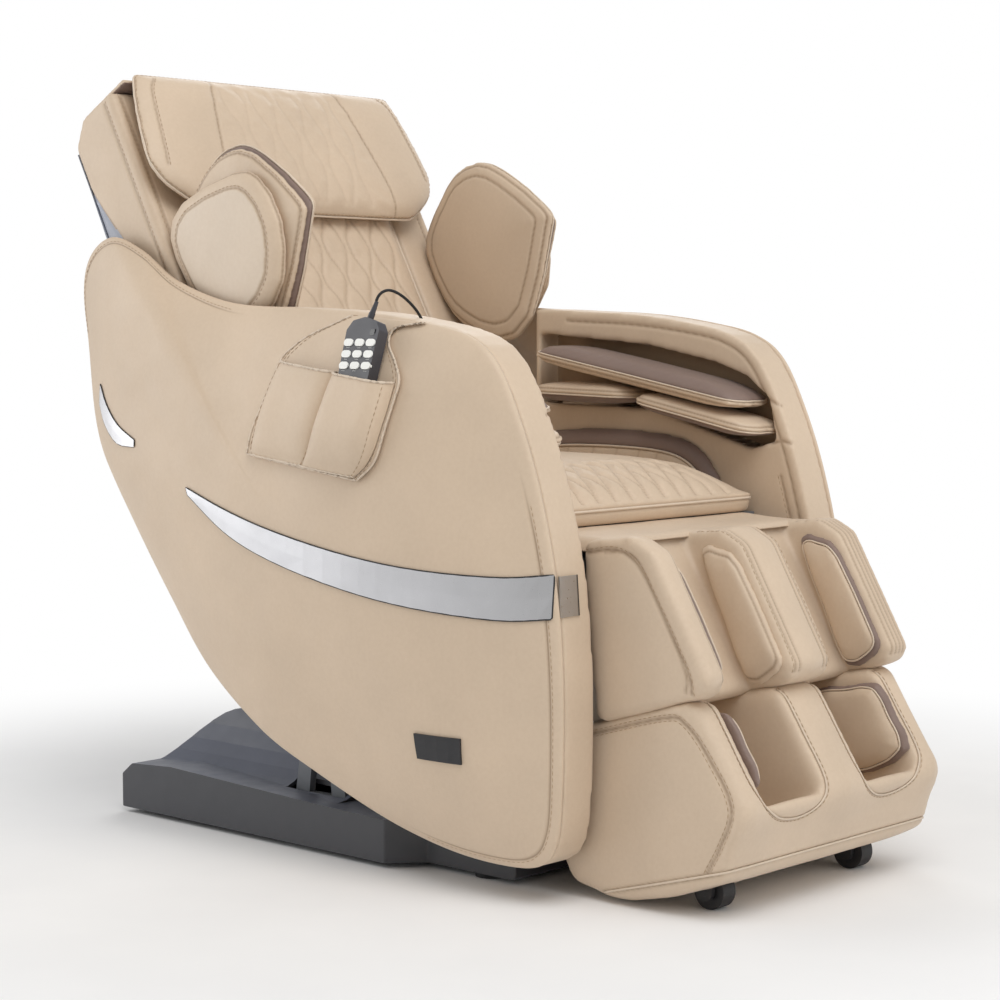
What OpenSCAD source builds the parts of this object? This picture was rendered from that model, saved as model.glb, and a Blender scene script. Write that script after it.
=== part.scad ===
// Full body massage chair: floor base, tilting seat with side panels and arms,
// reclining back with a roller carriage, lifting calf rest and sliding foot rest.
// Millimetres. X runs across the chair, the front faces -Y, Z is up.
// The origin is on the floor, under the middle of the chair's length and width.
// Left and right are the sitter's left (+X) and right (-X).

/* [Seat] */
// Clear width between the inner faces of the arms
seat_w = 504; // [460:1:560]
// Height of the seat cushion's crown above the floor
seat_h = 575; // [555:1:600]
// Thickness of the seat cushion at its crown
cushion_t = 94; // [85:1:105]
// Distance from the knee pivot to the hip pivot
seat_depth = 572; // [550:1:600]
// Place of the hip pivot along the chair
hip_y = 227; // [205:1:250]
// Depth of the hip pivot below the seat cushion's crown
hip_drop = 109; // [100:1:115]
// Depth of the knee pivot below the seat cushion's crown
knee_drop = 135; // [125:1:145]
// Height of the sewn quilting on the cushions
quilt_d = 5; // [3:0.5:7]

/* [Arms and side panels] */
// Width of an arm from its inner face to the side panel
arm_w = 60; // [54:1:70]
// Length of a side panel
panel_len = 982; // [960:1:1000]
// Height of a side panel
panel_h = 843; // [830:1:860]
// Floor clearance of a side panel
panel_clear = 47; // [40:1:55]
// How far the arm's nose reaches ahead of the knee pivot
arm_nose = 62; // [55:1:70]
// Swell of a side panel outside the arm
panel_bulge = 88; // [70:1:100]
// Wall of a side panel
panel_wall = 5; // [4:0.5:7]
// Width of the rolled edge between the arm and the seam of a side panel
panel_seam = 6; // [5:1:10]
// Thickness of the metal trim on the side panels
trim_t = 2; // [1.5:0.5:3]
// Thickness of an arm pad
arm_pad_t = 26; // [20:1:30]
// How far the arm pads reach out over the seat
arm_pad_reach = 60; // [45:1:70]

/* [Back] */
// Lean of the back from upright, in degrees
back_lean = 29; // [25:0.5:32]
// Length of the back above the hip pivot
back_len = 717; // [700:1:735]
// Width of the back over its side bolsters
back_w = 592; // [580:1:600]
// Thickness of the side bolsters
bolster_t = 120; // [115:1:130]
// How far the back pad stands in front of the hip pivot
pad_front = 63; // [58:1:66]
// Thickness of the back pad
back_pad_t = 28; // [24:1:30]
// Swell of the rear shell behind the bolsters
shell_bulge = 60; // [45:1:70]
// Wall of the rear shell
shell_wall = 4; // [3:0.5:6]
// Thickness of the head pillow
pillow_t = 34; // [28:1:38]
// Width of the head pillow at its widest
pillow_w = 604; // [560:1:612]
// Length of the head pillow along the back
pillow_len = 242; // [220:1:255]

/* [Leg rest] */
// Tilt of the leg rest from upright, in degrees
leg_tilt = 16; // [12:0.5:20]
// Width of the calf rest and the foot rest
leg_w = 462; // [440:1:480]
// Width of one calf channel
calf_channel_w = 142; // [130:1:150]
// Width of one foot well
foot_well_w = 104; // [96:1:112]
// Wheel radius under the foot rest
wheel_r = 24; // [20:1:26]
// Width of a wheel under the foot rest
wheel_w = 26; // [20:1:34]

/* [Base] */
// Width of the base cover
base_w = 592; // [560:1:600]
// Length of the base cover
base_len = 789; // [760:1:820]
// Height of the base cover's side
base_h = 80; // [75:1:88]
// Height of the hump in the base cover
hump_h = 160; // [150:1:164]
// Wall of the base cover
base_wall = 4; // [3:0.5:6]
// Height of a rubber foot
foot_h = 12; // [10:1:14]
// Radius of a rubber foot
foot_r = 22; // [18:1:23]
// Height of the tilt pivot above the floor
tilt_h = 250; // [244:1:256]
// Place of the tilt pivot along the chair
tilt_y = 130; // [122:1:138]
// Radius of the pivot pins
pin_r = 10; // [8:0.5:12]

/* [Massage mechanism] */
// Height of the carriage along the back
carriage_h = 130; // [110:1:140]
// Width of the carriage
carriage_w = 260; // [230:1:300]
// Radius of a massage roller
roller_r = 17; // [14:0.5:18]
// Width of a massage roller
roller_w = 22; // [18:1:28]
// Radius of the guide rods
rod_r = 8; // [6:0.5:9]
// Radius of the lead screw
screw_r = 9; // [7:0.5:11]

/* [Remote control] */
// Width of the handset
remote_w = 62; // [58:1:66]
// Length of the handset
remote_l = 148; // [140:1:156]
// Thickness of the handset
remote_t = 18; // [16:1:22]
// Diameter of the handset's cord
cord_d = 4; // [3.5:0.1:5]

/* [Hidden] */
$fn = 48;

// ---- clearances -------------------------------------------------------------
seat_gap = 0.3;    // soft piece to what it is seated on
flat = 0.01;       // swell of a pad's flat side
run_gap = 0.05;    // pin in its bore, on the radius
side_gap = 1.5;    // moving plate beside a fixed one
air_gap = 4;       // open pivot of an actuator, on the radius

// ---- colours ----------------------------------------------------------------
beige = [0.82, 0.72, 0.58];
taupe = [0.45, 0.38, 0.35];
plastic = [0.27, 0.29, 0.35];
shell_grey = [0.47, 0.50, 0.57];
silver = [0.78, 0.79, 0.80];
steel = [0.50, 0.52, 0.55];
black = [0.08, 0.08, 0.09];

// ---- main places ------------------------------------------------------------
arm_in = seat_w / 2;                  // inner face of an arm
arm_out = arm_in + arm_w;             // outer face of an arm, inner face of a panel
hip_h = seat_h - hip_drop;
knee_h = seat_h - knee_drop;
knee_y = hip_y - seat_depth;
panel_y0 = knee_y - arm_nose;
panel_z0 = panel_clear;
panel_mid = [0.45, 0.50];             // centre of a panel's swell, in shares
pan_top = seat_h - cushion_t;
pan_t = 16;

// ---- curves and closed skins ------------------------------------------------
function cr(a, b, c, d, t) = 0.5 * (2 * b + (c - a) * t + (2 * a - 5 * b + 4 * c - d) * t * t
    + (3 * b - a - 3 * c + d) * t * t * t);

// Closed smooth curve through the points, n steps from each to the next
function smooth(p, n) = let(m = len(p)) [for (i = [0:m - 1]) for (k = [0:n - 1])
    cr(p[(i + m - 1) % m], p[i], p[(i + 1) % m], p[(i + 2) % m], k / n)];

// Open smooth curve through the points
function smooth_open(p, n) = let(m = len(p), q = concat([2 * p[0] - p[1]], p,
    [2 * p[m - 1] - p[m - 2]])) concat([for (i = [1:m - 1]) for (k = [0:n - 1])
    cr(q[i - 1], q[i], q[i + 1], q[i + 2], k / n)], [p[m - 1]]);

// Corners rounded by arcs of radius r, n steps each
function rounded(p, r, n = 5) = let(m = len(p)) [for (i = [0:m - 1]) let(
    b = p[i], u = p[(i + m - 1) % m] - b, v = p[(i + 1) % m] - b,
    un = u / norm(u), vn = v / norm(v), half = acos(un * vn) / 2,
    c = b + (un + vn) / norm(un + vn) * r / sin(half),
    s = b + un * r / tan(half) - c, e = b + vn * r / tan(half) - c,
    turn = (s[0] * e[1] - s[1] * e[0] > 0 ? 1 : -1) * (180 - 2 * half))
    for (k = [0:n]) let(a = turn * k / n)
        c + [s[0] * cos(a) - s[1] * sin(a), s[0] * sin(a) + s[1] * cos(a)]];

function grow(p, c, s) = [for (q = p) c + (q - c) * s];
function mean(p) = [for (k = [0:1]) [for (q = p) q[k]] * [for (q = p) 1] / len(p)];

// Solid between rings of points, closed to a point at both ends
module skin(a, rings, b) {
    n = len(rings[0]);
    m = len(rings);
    points = concat([a], [for (r = rings) each r], [b]);
    faces = concat(
        [for (j = [0:n - 1]) [0, 1 + j, 1 + (j + 1) % n]],
        [for (i = [0:m - 2]) for (j = [0:n - 1]) let(p = 1 + i * n + j, q = 1 + i * n + (j + 1) % n)
            each [[p, p + n, q + n], [p, q + n, q]]],
        [for (j = [0:n - 1]) [1 + m * n, 1 + (m - 1) * n + (j + 1) % n, 1 + (m - 1) * n + j]]);
    polyhedron(points, faces);
}

// Crowned cushion on an outline (counter-clockwise), from z = -down to z = up
module pad(outline, up, down, box = 0.45) {
    c = mean(outline);
    steps = [-65, -40, -14, 14, 40, 65];
    skin([c[0], c[1], -down],
        [for (a = steps) let(s = pow(cos(a), box), z = sin(a) * (a > 0 ? up : down))
            [for (q = grow(outline, c, s)) [q[0], q[1], z]]],
        [c[0], c[1], up]);
}

// Outline of a soft rectangle with its sides drawn in by d and corners of radius r
function soft_rect(w, l, r, d) = let(x = w / 2, y = l / 2) smooth([
    [x - d, 0], [x, y - r], [x - r * 0.3, y - r * 0.3], [x - r, y], [0, y - d], [r - x, y],
    [r * 0.3 - x, y - r * 0.3], [-x, y - r], [d - x, 0], [-x, r - y],
    [r * 0.3 - x, r * 0.3 - y], [r - x, -y], [0, d - y], [x - r, -y],
    [x - r * 0.3, r * 0.3 - y], [x, r - y]], 2);

// Cushion with sewn diamonds. Its plan runs from y = 0 to l, half its width at
// y is a list (spread evenly), and the sewn part is the middle share of nx cells.
module quilted(half, l, t, edge, nx, ny, sewn, from, to) {
    function lerp_half(b) = let(k = b * (len(half) - 1), i = min(floor(k), len(half) - 2))
        half[i] + (half[i + 1] - half[i]) * (k - i);
    function crown(a, b) = pow(max(0, 1 - pow(abs(a), 5)) * max(0, 1 - pow(abs(2 * b - 1), 7)), 0.5);
    function dip(i, j) = (abs(2 * i / nx - 1) < sewn && j / ny > from && j / ny < to
        && (i + j) % 2 == 0) ? quilt_d : 0;
    top = [for (j = [0:ny]) for (i = [0:nx]) let(a = 2 * i / nx - 1, b = j / ny)
        [a * lerp_half(b), b * l, edge + (t - edge) * crown(a, b) - dip(i, j)]];
    w = nx + 1;
    rim = concat([for (i = [0:nx]) i], [for (j = [1:ny]) j * w + nx],
        [for (i = [1:nx]) ny * w + nx - i], [for (j = [1:ny - 1]) (ny - j) * w]);
    c = [0, l / 2];
    low = [for (k = rim) let(q = top[k]) [q[0] * 0.98, c[1] + (q[1] - c[1]) * 0.98, 0]];
    n = len(rim);
    s = len(top);
    polyhedron(concat(top, low, [[0, c[1], 0]]), concat(
        [for (j = [0:ny - 1]) for (i = [0:nx - 1]) let(p = j * w + i)
            each ((i + j) % 2 == 0 ? [[p, p + w + 1, p + 1], [p, p + w, p + w + 1]]
                : [[p, p + w, p + 1], [p + 1, p + w, p + w + 1]])],
        [for (k = [0:n - 1]) let(d = (k + 1) % n) each [[rim[k], rim[d], s + k],
            [rim[d], s + d, s + k], [s + k, s + d, s + n]]]));
}

// Solid between two grids of points, joined round their edges
module sheet(top, low) {
    m = len(top);
    n = len(top[0]);
    k = m * n;
    polyhedron(concat([for (r = top) each r], [for (r = low) each r]), concat(
        [for (i = [0:m - 2]) for (j = [0:n - 2]) let(p = i * n + j)
            each [[p, p + n, p + n + 1], [p, p + n + 1, p + 1],
                [p + k, p + k + n + 1, p + k + n], [p + k, p + k + 1, p + k + n + 1]]],
        [for (j = [0:n - 2]) let(q = (m - 1) * n + j)
            each [[j, j + 1, j + 1 + k], [j, j + 1 + k, j + k],
                  [q + 1, q, q + k], [q + 1, q + k, q + 1 + k]]],
        [for (i = [0:m - 2]) let(p = i * n, r = p + n - 1)
            each [[p + n, p, p + k], [p + n, p + k, p + n + k],
                  [r, r + n, r + n + k], [r, r + n + k, r + k]]]));
}

// Tube swept along points
module tube(path, r, sides) {
    m = len(path);
    dir = [for (i = [0:m - 1]) let(d = path[min(i + 1, m - 1)] - path[max(i - 1, 0)]) d / norm(d)];
    side = [for (i = [0:m - 1])
        let(u = cross(dir[i], abs(dir[i][0]) > 0.9 ? [0, 0, 1] : [1, 0, 0])) u / norm(u)];
    rings = [for (i = [0:m - 1]) let(v = cross(dir[i], side[i])) [for (k = [0:sides - 1])
        let(a = 360 * k / sides) path[i] + r * (cos(a) * side[i] + sin(a) * v)]];
    skin(path[0], rings, path[m - 1]);
}

// ---- placing ----------------------------------------------------------------
module both() {
    children();
    mirror([1, 0, 0]) children();
}
// Plate drawn in (y, z), from x = a to x = b
module plate_x(a, b, p) {
    translate([a, 0, 0]) rotate([90, 0, 90]) linear_extrude(b - a) polygon(p);
}
// Rod along X
module rod_x(a, b, y, z, r) {
    translate([a, y, z]) rotate([0, 90, 0]) cylinder(h = b - a, r = r);
}
// Box between two corners
module block(a, b) {
    translate(a) cube(b - a);
}
// Frame of the back: origin on the hip pivot, Z up the back, Y to its rear
module on_back() {
    translate([0, hip_y, hip_h]) rotate([-back_lean, 0, 0]) children();
}
// Frame of the leg rest: origin on the knee pivot, -Z down the leg
module on_leg() {
    translate([0, knee_y, knee_h]) rotate([-leg_tilt, 0, 0]) children();
}

// ---- side panel surface -----------------------------------------------------
// Point of the panel from its shares of length and height
function pn(u, v) = [panel_y0 + u * panel_len, panel_z0 + v * panel_h];
panel_shares = [[1, 0.89], [0.985, 0.965], [0.93, 1.0], [0.857, 0.974], [0.775, 0.92],
    [0.65, 0.88], [0.5, 0.87], [0.36, 0.862], [0.25, 0.846], [0.17, 0.825], [0.117, 0.783],
    [0.075, 0.694], [0.04, 0.585], [0.012, 0.45], [0, 0.3], [0.001, 0.14], [0.01, 0.05],
    [0.04, 0.01], [0.11, 0], [0.21, 0.008], [0.32, 0.037], [0.457, 0.102], [0.565, 0.16],
    [0.675, 0.25], [0.76, 0.363], [0.85, 0.495], [0.925, 0.62], [0.975, 0.76]];
panel_pts = [for (p = smooth(panel_shares, 2)) pn(p[0], p[1])];
panel_c = pn(panel_mid[0], panel_mid[1]);
hollow_share = 0.965;                 // edge of the hollow behind a panel, as a share of its outline
panel_flare = 26;                     // lower rear edge stands this far out
function ramp(a, b, x) = let(t = min(1, max(0, (x - a) / (b - a)))) t * t * (3 - 2 * t);
function flare(p) = let(u = (p[0] - panel_y0) / panel_len, v = (p[1] - panel_z0) / panel_h)
    panel_flare * ramp(0.25, 0.55, u) * ramp(0.85, 0.6, v);
// Height of the swell at share s of the way from the centre to edge point p
function swell(p, s) = let(e = panel_seam + flare(p)) e + (panel_bulge - e) * pow(1 - s * s, 0.8);
// Edge point beyond q, and the share of the way that q lies at
function beyond(q) = let(d = q - panel_c, n = len(panel_pts), hits = [for (i = [0:n - 1])
    let(a = panel_pts[i] - panel_c, e = panel_pts[(i + 1) % n] - panel_pts[i],
        den = d[0] * e[1] - d[1] * e[0], t = (a[0] * e[1] - a[1] * e[0]) / den,
        w = (a[0] * d[1] - a[1] * d[0]) / den) if (t > 0 && w >= 0 && w < 1) t])
    [panel_c + d * hits[0], 1 / hits[0]];
// Outer surface of the panel at (y, z), as a distance from the chair's middle
function panel_x(q) = let(h = beyond(q)) arm_out + swell(h[0], min(h[1], 1));

module side_panel() {
    outer = [0.24, 0.46, 0.65, 0.8, 0.91, 0.97, 1];
    inner = [0.91, 0.8, 0.65, 0.46, 0.24];
    function at(s, k, x) = let(q = panel_c + (panel_pts[k] - panel_c) * s) [x, q[0], q[1]];
    around = [len(panel_pts) - 1:-1:0];
    skin([arm_out + panel_bulge, panel_c[0], panel_c[1]],
        concat(
            [for (s = outer) [for (k = around) at(s, k, arm_out + swell(panel_pts[k], s))]],
            [[for (k = around) at(1, k, arm_out)]],
            [[for (k = around) at(hollow_share, k, arm_out)]],
            [for (s = inner) [for (k = around) at(s, k, arm_out + swell(panel_pts[k], s) - panel_wall)]]),
        [arm_out + panel_bulge - panel_wall, panel_c[0], panel_c[1]]);
}

// ---- base -------------------------------------------------------------------
base_rear = hip_y + 297;
base_front = base_rear - base_len;
rail_h = 30;
rail_w = 40;
rail_x = 205;                         // inner edge of a base rail
rail_z = foot_h + rail_h;
tower_t = 12;
bracket_t = 8;
bracket_x = arm_in - 3 - bracket_t;   // tilt bracket on the seat frame
tower_x = bracket_x - side_gap - tower_t;
tower_half = 36;
inlet_w = 96;
inlet_h = 34;
inlet_d = 22;
inlet_z = foot_h + 12;
inlet_y = base_rear - inlet_d + 2;
socket = [26, 16, 18];                // hollow of the power inlet
rocker = [20, 13, 24];
tilt_motor_y = base_front + 65;
tilt_motor_z = rail_z + 26;
tilt_eye = [-150, 330];               // pivot on the seat frame that the tilt rod lifts
tilt_x = 110;
motor_r = 28;
tilt_angle = atan2(tilt_eye[0] - tilt_motor_y, tilt_eye[1] - tilt_motor_z);
tilt_reach = norm([tilt_eye[0] - tilt_motor_y, tilt_eye[1] - tilt_motor_z]);

module base_frame() {
    color(steel) {
        both() block([rail_x, base_front + 46, foot_h], [rail_x + rail_w, base_rear - 40, rail_z]);
        block([-rail_x, base_front + 46, foot_h], [rail_x, base_front + 86, rail_z]);
        block([-rail_x, tilt_y - 20, foot_h], [rail_x, tilt_y + 20, rail_z]);
        block([-rail_x, tilt_y + 20, rail_z - 6], [rail_x, base_rear - 80, rail_z]);
        both() difference() {
            union() {
                plate_x(tower_x, tower_x + tower_t, [[tilt_y - tower_half * 1.6, rail_z],
                    [tilt_y + tower_half * 1.6, rail_z], [tilt_y + 24, tilt_h], [tilt_y - 24, tilt_h]]);
                rod_x(tower_x, tower_x + tower_t, tilt_y, tilt_h, 24);
            }
            plate_x(tower_x - 1, tower_x + tower_t + 1, [[tilt_y - 24, rail_z + 30],
                [tilt_y + 24, rail_z + 30], [tilt_y + 10, tilt_h - 60], [tilt_y - 10, tilt_h - 60]]);
        }
        both() rod_x(tower_x, arm_in - 2, tilt_y, tilt_h, pin_r);
        for (x = [-1, 1]) block([tilt_x + x * 14 - 4, tilt_motor_y - 18, rail_z],
            [tilt_x + x * 14 + 4, tilt_motor_y + 18, tilt_motor_z + 16]);
        rod_x(tilt_x - 18, tilt_x + 18, tilt_motor_y, tilt_motor_z, 6);
    }
}

// Side view of the cover; f sets it in by the wall
function cover_side(f) = rounded([[base_front + f, 8], [base_rear - f, 8],
    [base_rear - f, base_h - 22 - f], [base_rear - 26 - f, base_h - 2 - f],
    [base_rear - 120, base_h + 4 - f], [tilt_y - 60, base_h - 8 - f],
    [base_front + 44 + f, base_h - 14 - f], [base_front + f, base_h - 44 - f]], 6);
// Plan of the cover: wide behind, and narrow where the arms come down beside it
neck_y = -60;
function cover_plan(f) = let(w = base_w / 2 - f, n = arm_in - 2 - f) rounded([[-w, base_rear + 1],
    [-w, neck_y - f / 2], [-n, neck_y - 40], [-n, base_front - 1], [n, base_front - 1],
    [n, neck_y - 40], [w, neck_y - f / 2], [w, base_rear + 1]], 5);
module cover_form(f, low) {
    intersection() {
        plate_x(-base_w, base_w, [for (p = cover_side(f)) [p[0], p[1] < 30 ? p[1] - low : p[1]]]);
        linear_extrude(base_h * 2) polygon(cover_plan(f));
    }
}
function hump_front(f) = let(w = base_w / 2 - 24 - f, h = hump_h - f) concat(
    [[-w, base_h - 30], [w, base_h - 30]],
    [for (k = [0:6]) let(t = k / 6) [w - 110 * t, base_h - 8 - f + (h - base_h + 8) * pow(t, 2)]],
    [for (k = [0:6]) let(t = 1 - k / 6) [110 * t - w, base_h - 8 - f + (h - base_h + 8) * pow(t, 2)]]);
function hump_side(f) = let(h = hump_h - f, y = tilt_y - 70, e = base_rear - 26) concat(
    [[y + f, base_h - 30], [e - f, base_h - 30]],
    [for (k = [0:6]) let(t = k / 6) [e - 110 * t - f, base_h - 8 + (h - base_h + 8) * (1 - pow(1 - t, 2))]],
    [[y + 60 + f, h], [y + f, h - 40]]);
module hump(f, low) {
    intersection() {
        translate([0, base_rear, 0]) rotate([90, 0, 0]) linear_extrude(base_len) polygon(hump_front(f));
        plate_x(-base_w / 2, base_w / 2, hump_side(f));
        block([-base_w, base_front, low], [base_w, base_rear, hump_h + 10]);
    }
}
module base_cover() {
    color(plastic) difference() {
        union() {
            cover_form(0, 0);
            hump(0, base_h - 20);
        }
        translate([0, 0, -1]) cover_form(base_wall, 8);
        hump(base_wall, base_h - 30);
        both() block([tower_x - 3, tilt_y - tower_half * 1.6 - 4, rail_z],
            [arm_in, tilt_y + tower_half * 1.6 + 4, hump_h + 1]);
        block([tilt_x - motor_r - 8, tilt_motor_y - motor_r - 8, rail_z],
            [tilt_x + motor_r + 8, tilt_motor_y + motor_r + 60, hump_h]);
        block([-inlet_w / 2 - 0.3, base_rear - inlet_d, inlet_z - 0.3],
            [inlet_w / 2 + 0.3, base_rear + 1, inlet_z + inlet_h + 0.3]);
    }
    color(plastic) both() for (y = [base_front + 90, base_rear - 150])
        translate([rail_x + rail_w / 2, y, rail_z]) cylinder(h = base_h - base_wall - rail_z - 9, r = 9);
}
module rubber_feet() {
    color(black) both() for (y = [base_front + 70, (base_front + base_rear) / 2, base_rear - 64])
        translate([rail_x + rail_w / 2 - 3, y, 0]) cylinder(h = foot_h, r = foot_r);
}
module power_inlet() {
    sx = -inlet_w / 4;
    rx = inlet_w / 4;
    zc = inlet_z + inlet_h / 2;
    color(black) difference() {
        union() {
            block([-inlet_w / 2, inlet_y, inlet_z], [inlet_w / 2, base_rear, inlet_z + inlet_h]);
            block([-inlet_w / 2 - 5, base_rear + 0.3, inlet_z - 5],
                [inlet_w / 2 + 5, base_rear + 3, inlet_z + inlet_h + 5]);
            block([-inlet_w / 2, base_rear - 1, inlet_z], [inlet_w / 2, base_rear + 1, inlet_z + inlet_h]);
        }
        block([sx - socket[0] / 2, base_rear + 3 - socket[2], zc - socket[1] / 2],
            [sx + socket[0] / 2, base_rear + 4, zc + socket[1] / 2]);
        block([rx - rocker[0] / 2, base_rear + 3 - rocker[1] - 2, zc - rocker[2] / 2],
            [rx + rocker[0] / 2, base_rear + 4, zc + rocker[2] / 2]);
    }
}
rocker_c = [inlet_w / 4, base_rear - 2, inlet_z + inlet_h / 2];
module power_switch() {
    w = rocker[0] - 1.6;
    l = rocker[2] - 3;
    color(black) translate(rocker_c) plate_x(-w / 2, w / 2, [[-5, -l / 2 + 4], [-5, l / 2 - 4],
        [3, l / 2], [6, l / 2 - 1], [2.5, 0], [6, 1 - l / 2], [3, -l / 2]]);
}
module air_pump() {
    color(plastic) {
        block([-150, base_rear - 240, rail_z], [-20, base_rear - 120, rail_z + 74]);
        translate([-115, base_rear - 255, rail_z + 40]) rotate([-90, 0, 0]) cylinder(h = 15, r = 10);
        translate([-55, base_rear - 255, rail_z + 40]) rotate([-90, 0, 0]) cylinder(h = 15, r = 10);
    }
}
module power_unit() {
    color(silver) block([20, base_rear - 250, rail_z], [150, base_rear - 110, rail_z + 60]);
}
// Linear motor along +Z from its eye at the origin, with its nose at reach l
module motor(l) {
    color(black) difference() {
        union() {
            rod_x(-8, 8, 0, 0, 14);
            block([-8, -12, 0], [8, 12, 24]);
            translate([0, 0, 20]) cylinder(h = 70, r = motor_r);
            translate([0, 0, 80]) cylinder(h = l - 80, r = motor_r * 0.6);
        }
        rod_x(-9, 9, 0, 0, 6 + run_gap);
        translate([0, 0, 34]) cylinder(h = l, r = 9 + run_gap);
    }
}
// Rod of a motor: reaches from z = a to the eye at z = l, whose hole clears a pin
module motor_rod(a, l, hole) {
    color(silver) difference() {
        union() {
            translate([0, 0, a]) cylinder(h = l - a - hole, r = 9);
            rod_x(-8, 8, 0, l, hole + 7);
        }
        rod_x(-9, 9, 0, l, hole);
    }
}
eye_pin_r = 8;
eye_r = eye_pin_r + air_gap;
module at_tilt() {
    translate([tilt_x, tilt_motor_y, tilt_motor_z]) rotate([-tilt_angle, 0, 0]) children();
}
module tilt_motor() {
    at_tilt() motor(150);
}
module tilt_rod() {
    at_tilt() motor_rod(50, tilt_reach, eye_r);
}

// ---- seat -------------------------------------------------------------------
lug_t = 30;                           // back and leg lugs on their pins
lug_x = arm_in - 12 - side_gap - lug_t;
leg_x = -70;                          // the leg motor runs on this side of the middle
leg_lever = 50;
leg_axis_z = knee_h - leg_lever * 0.88;
leg_eye_y = knee_y + leg_lever * sin(40);
leg_motor_y = -40;
recline_x = 70;
recline_lever = 90;
recline_half = 17;                    // half the recline range, in degrees
recline_eye = [hip_y + recline_lever * sin(recline_half), hip_h - recline_lever * cos(recline_half)];
recline_motor_y = -90;
recline_axis_z = hip_h - recline_lever * (1 + cos(recline_half)) / 2;

module seat_frame() {
    r = 26;
    color(steel) {
        both() difference() {
            union() {
                plate_x(arm_in - 12, arm_in, [[knee_y, knee_h - r], [-120, knee_h - 65],
                    [tilt_y - 60, knee_h - 70], [hip_y - 10, hip_h - r], [hip_y, hip_h + r],
                    [tilt_y, pan_top - pan_t], [knee_y + 30, pan_top - pan_t], [knee_y, knee_h + r]]);
                rod_x(arm_in - 12, arm_in, knee_y, knee_h, r);
                rod_x(arm_in - 12, arm_in, hip_y, hip_h, r);
                plate_x(bracket_x, bracket_x + bracket_t, [[tilt_y - 60, knee_h - 60], [tilt_y - 26, tilt_h],
                    [tilt_y + 26, tilt_h], [tilt_y + 50, knee_h - 40]]);
                rod_x(bracket_x, bracket_x + bracket_t, tilt_y, tilt_h, 26);
            }
            rod_x(bracket_x - 1, arm_in + 1, tilt_y, tilt_h, pin_r + run_gap);
        }
        both() rod_x(lug_x - 4, arm_in - 6, knee_y, knee_h, pin_r);
        both() rod_x(lug_x - 4, arm_in - 6, hip_y, hip_h, pin_r);
        for (y = [-240, -20, 150]) rod_x(8 - arm_in, arm_in - 8, y, pan_top - pan_t - 11, 14);
        block([4 - arm_in, -290, pan_top - pan_t], [arm_in - 4, hip_y - 70, pan_top]);
        // motor brackets
        for (x = [-1, 1]) {
            block([leg_x + x * 14 - 4, leg_motor_y - 14, leg_axis_z - 14],
                [leg_x + x * 14 + 4, leg_motor_y + 14, pan_top - pan_t]);
            block([recline_x + x * 14 - 4, recline_motor_y - 14, recline_axis_z - 14],
                [recline_x + x * 14 + 4, recline_motor_y + 14, pan_top - pan_t]);
            block([tilt_x + x * 14 - 4, tilt_eye[0] - 16, tilt_eye[1] - 16],
                [tilt_x + x * 14 + 4, tilt_eye[0] + 16, pan_top - pan_t]);
        }
        rod_x(leg_x - 18, leg_x + 18, leg_motor_y, leg_axis_z, 6);
        rod_x(recline_x - 18, recline_x + 18, recline_motor_y, recline_axis_z, 6);
        rod_x(tilt_x - 18, tilt_x + 18, tilt_eye[0], tilt_eye[1], eye_pin_r);
    }
}
module at_leg_motor() {
    translate([leg_x, leg_motor_y, leg_axis_z]) rotate([90, 0, 0]) children();
}
module leg_motor() {
    at_leg_motor() motor(190);
}
module leg_rod() {
    at_leg_motor() motor_rod(60, leg_motor_y - leg_eye_y, eye_r + 3);
}
module at_recline_motor() {
    translate([recline_x, recline_motor_y, recline_axis_z]) rotate([-90, 0, 0]) children();
}
module recline_motor() {
    at_recline_motor() motor(200);
}
module recline_rod() {
    at_recline_motor() motor_rod(96, recline_eye[0] - recline_motor_y, eye_r + 1);
}

hip_air_t = 24;                       // hip airbag on the arm's inner face
cushion_front = knee_y + 45;
cushion_rear = hip_y - 72;
cushion_w = seat_w - 2 * hip_air_t - 4;
module seat_cushion() {
    l = cushion_rear - cushion_front;
    x = cushion_w / 2;
    w = arm_in - 12;
    color(beige) translate([0, cushion_rear, pan_top + seat_gap]) rotate([0, 0, 180])
        quilted([x - 12, x, x, x, x, x, x, w, w - 4], l, cushion_t - 8 - seat_gap,
            30, 20, 20, 0.7, 0.72, 0.98);
}
module hip_airbags() {
    l = cushion_rear - cushion_front;
    shape = [[0, pan_top + 24], [0.01, seat_h - 28], [0.14, seat_h + 12], [0.44, seat_h + 22],
        [0.74, seat_h + 14], [0.79, seat_h - 20], [0.74, pan_top + 20], [0.35, pan_top + 6]];
    color(taupe) both() translate([arm_in - seat_gap, 0, 0]) rotate([0, -90, 0])
        pad(smooth([for (p = shape) [p[1], cushion_front + 80 + p[0] * l]], 3), hip_air_t - 1, flat);
}

// ---- side panels and arms -----------------------------------------------------
arm_rear = hip_y - 77;                // rear end of an arm
arm_skin = 10;                        // wall of an arm
module side_panel_left() {
    color(beige) side_panel();
}
module side_panel_right() {
    color(beige) mirror([1, 0, 0]) side_panel();
}
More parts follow.
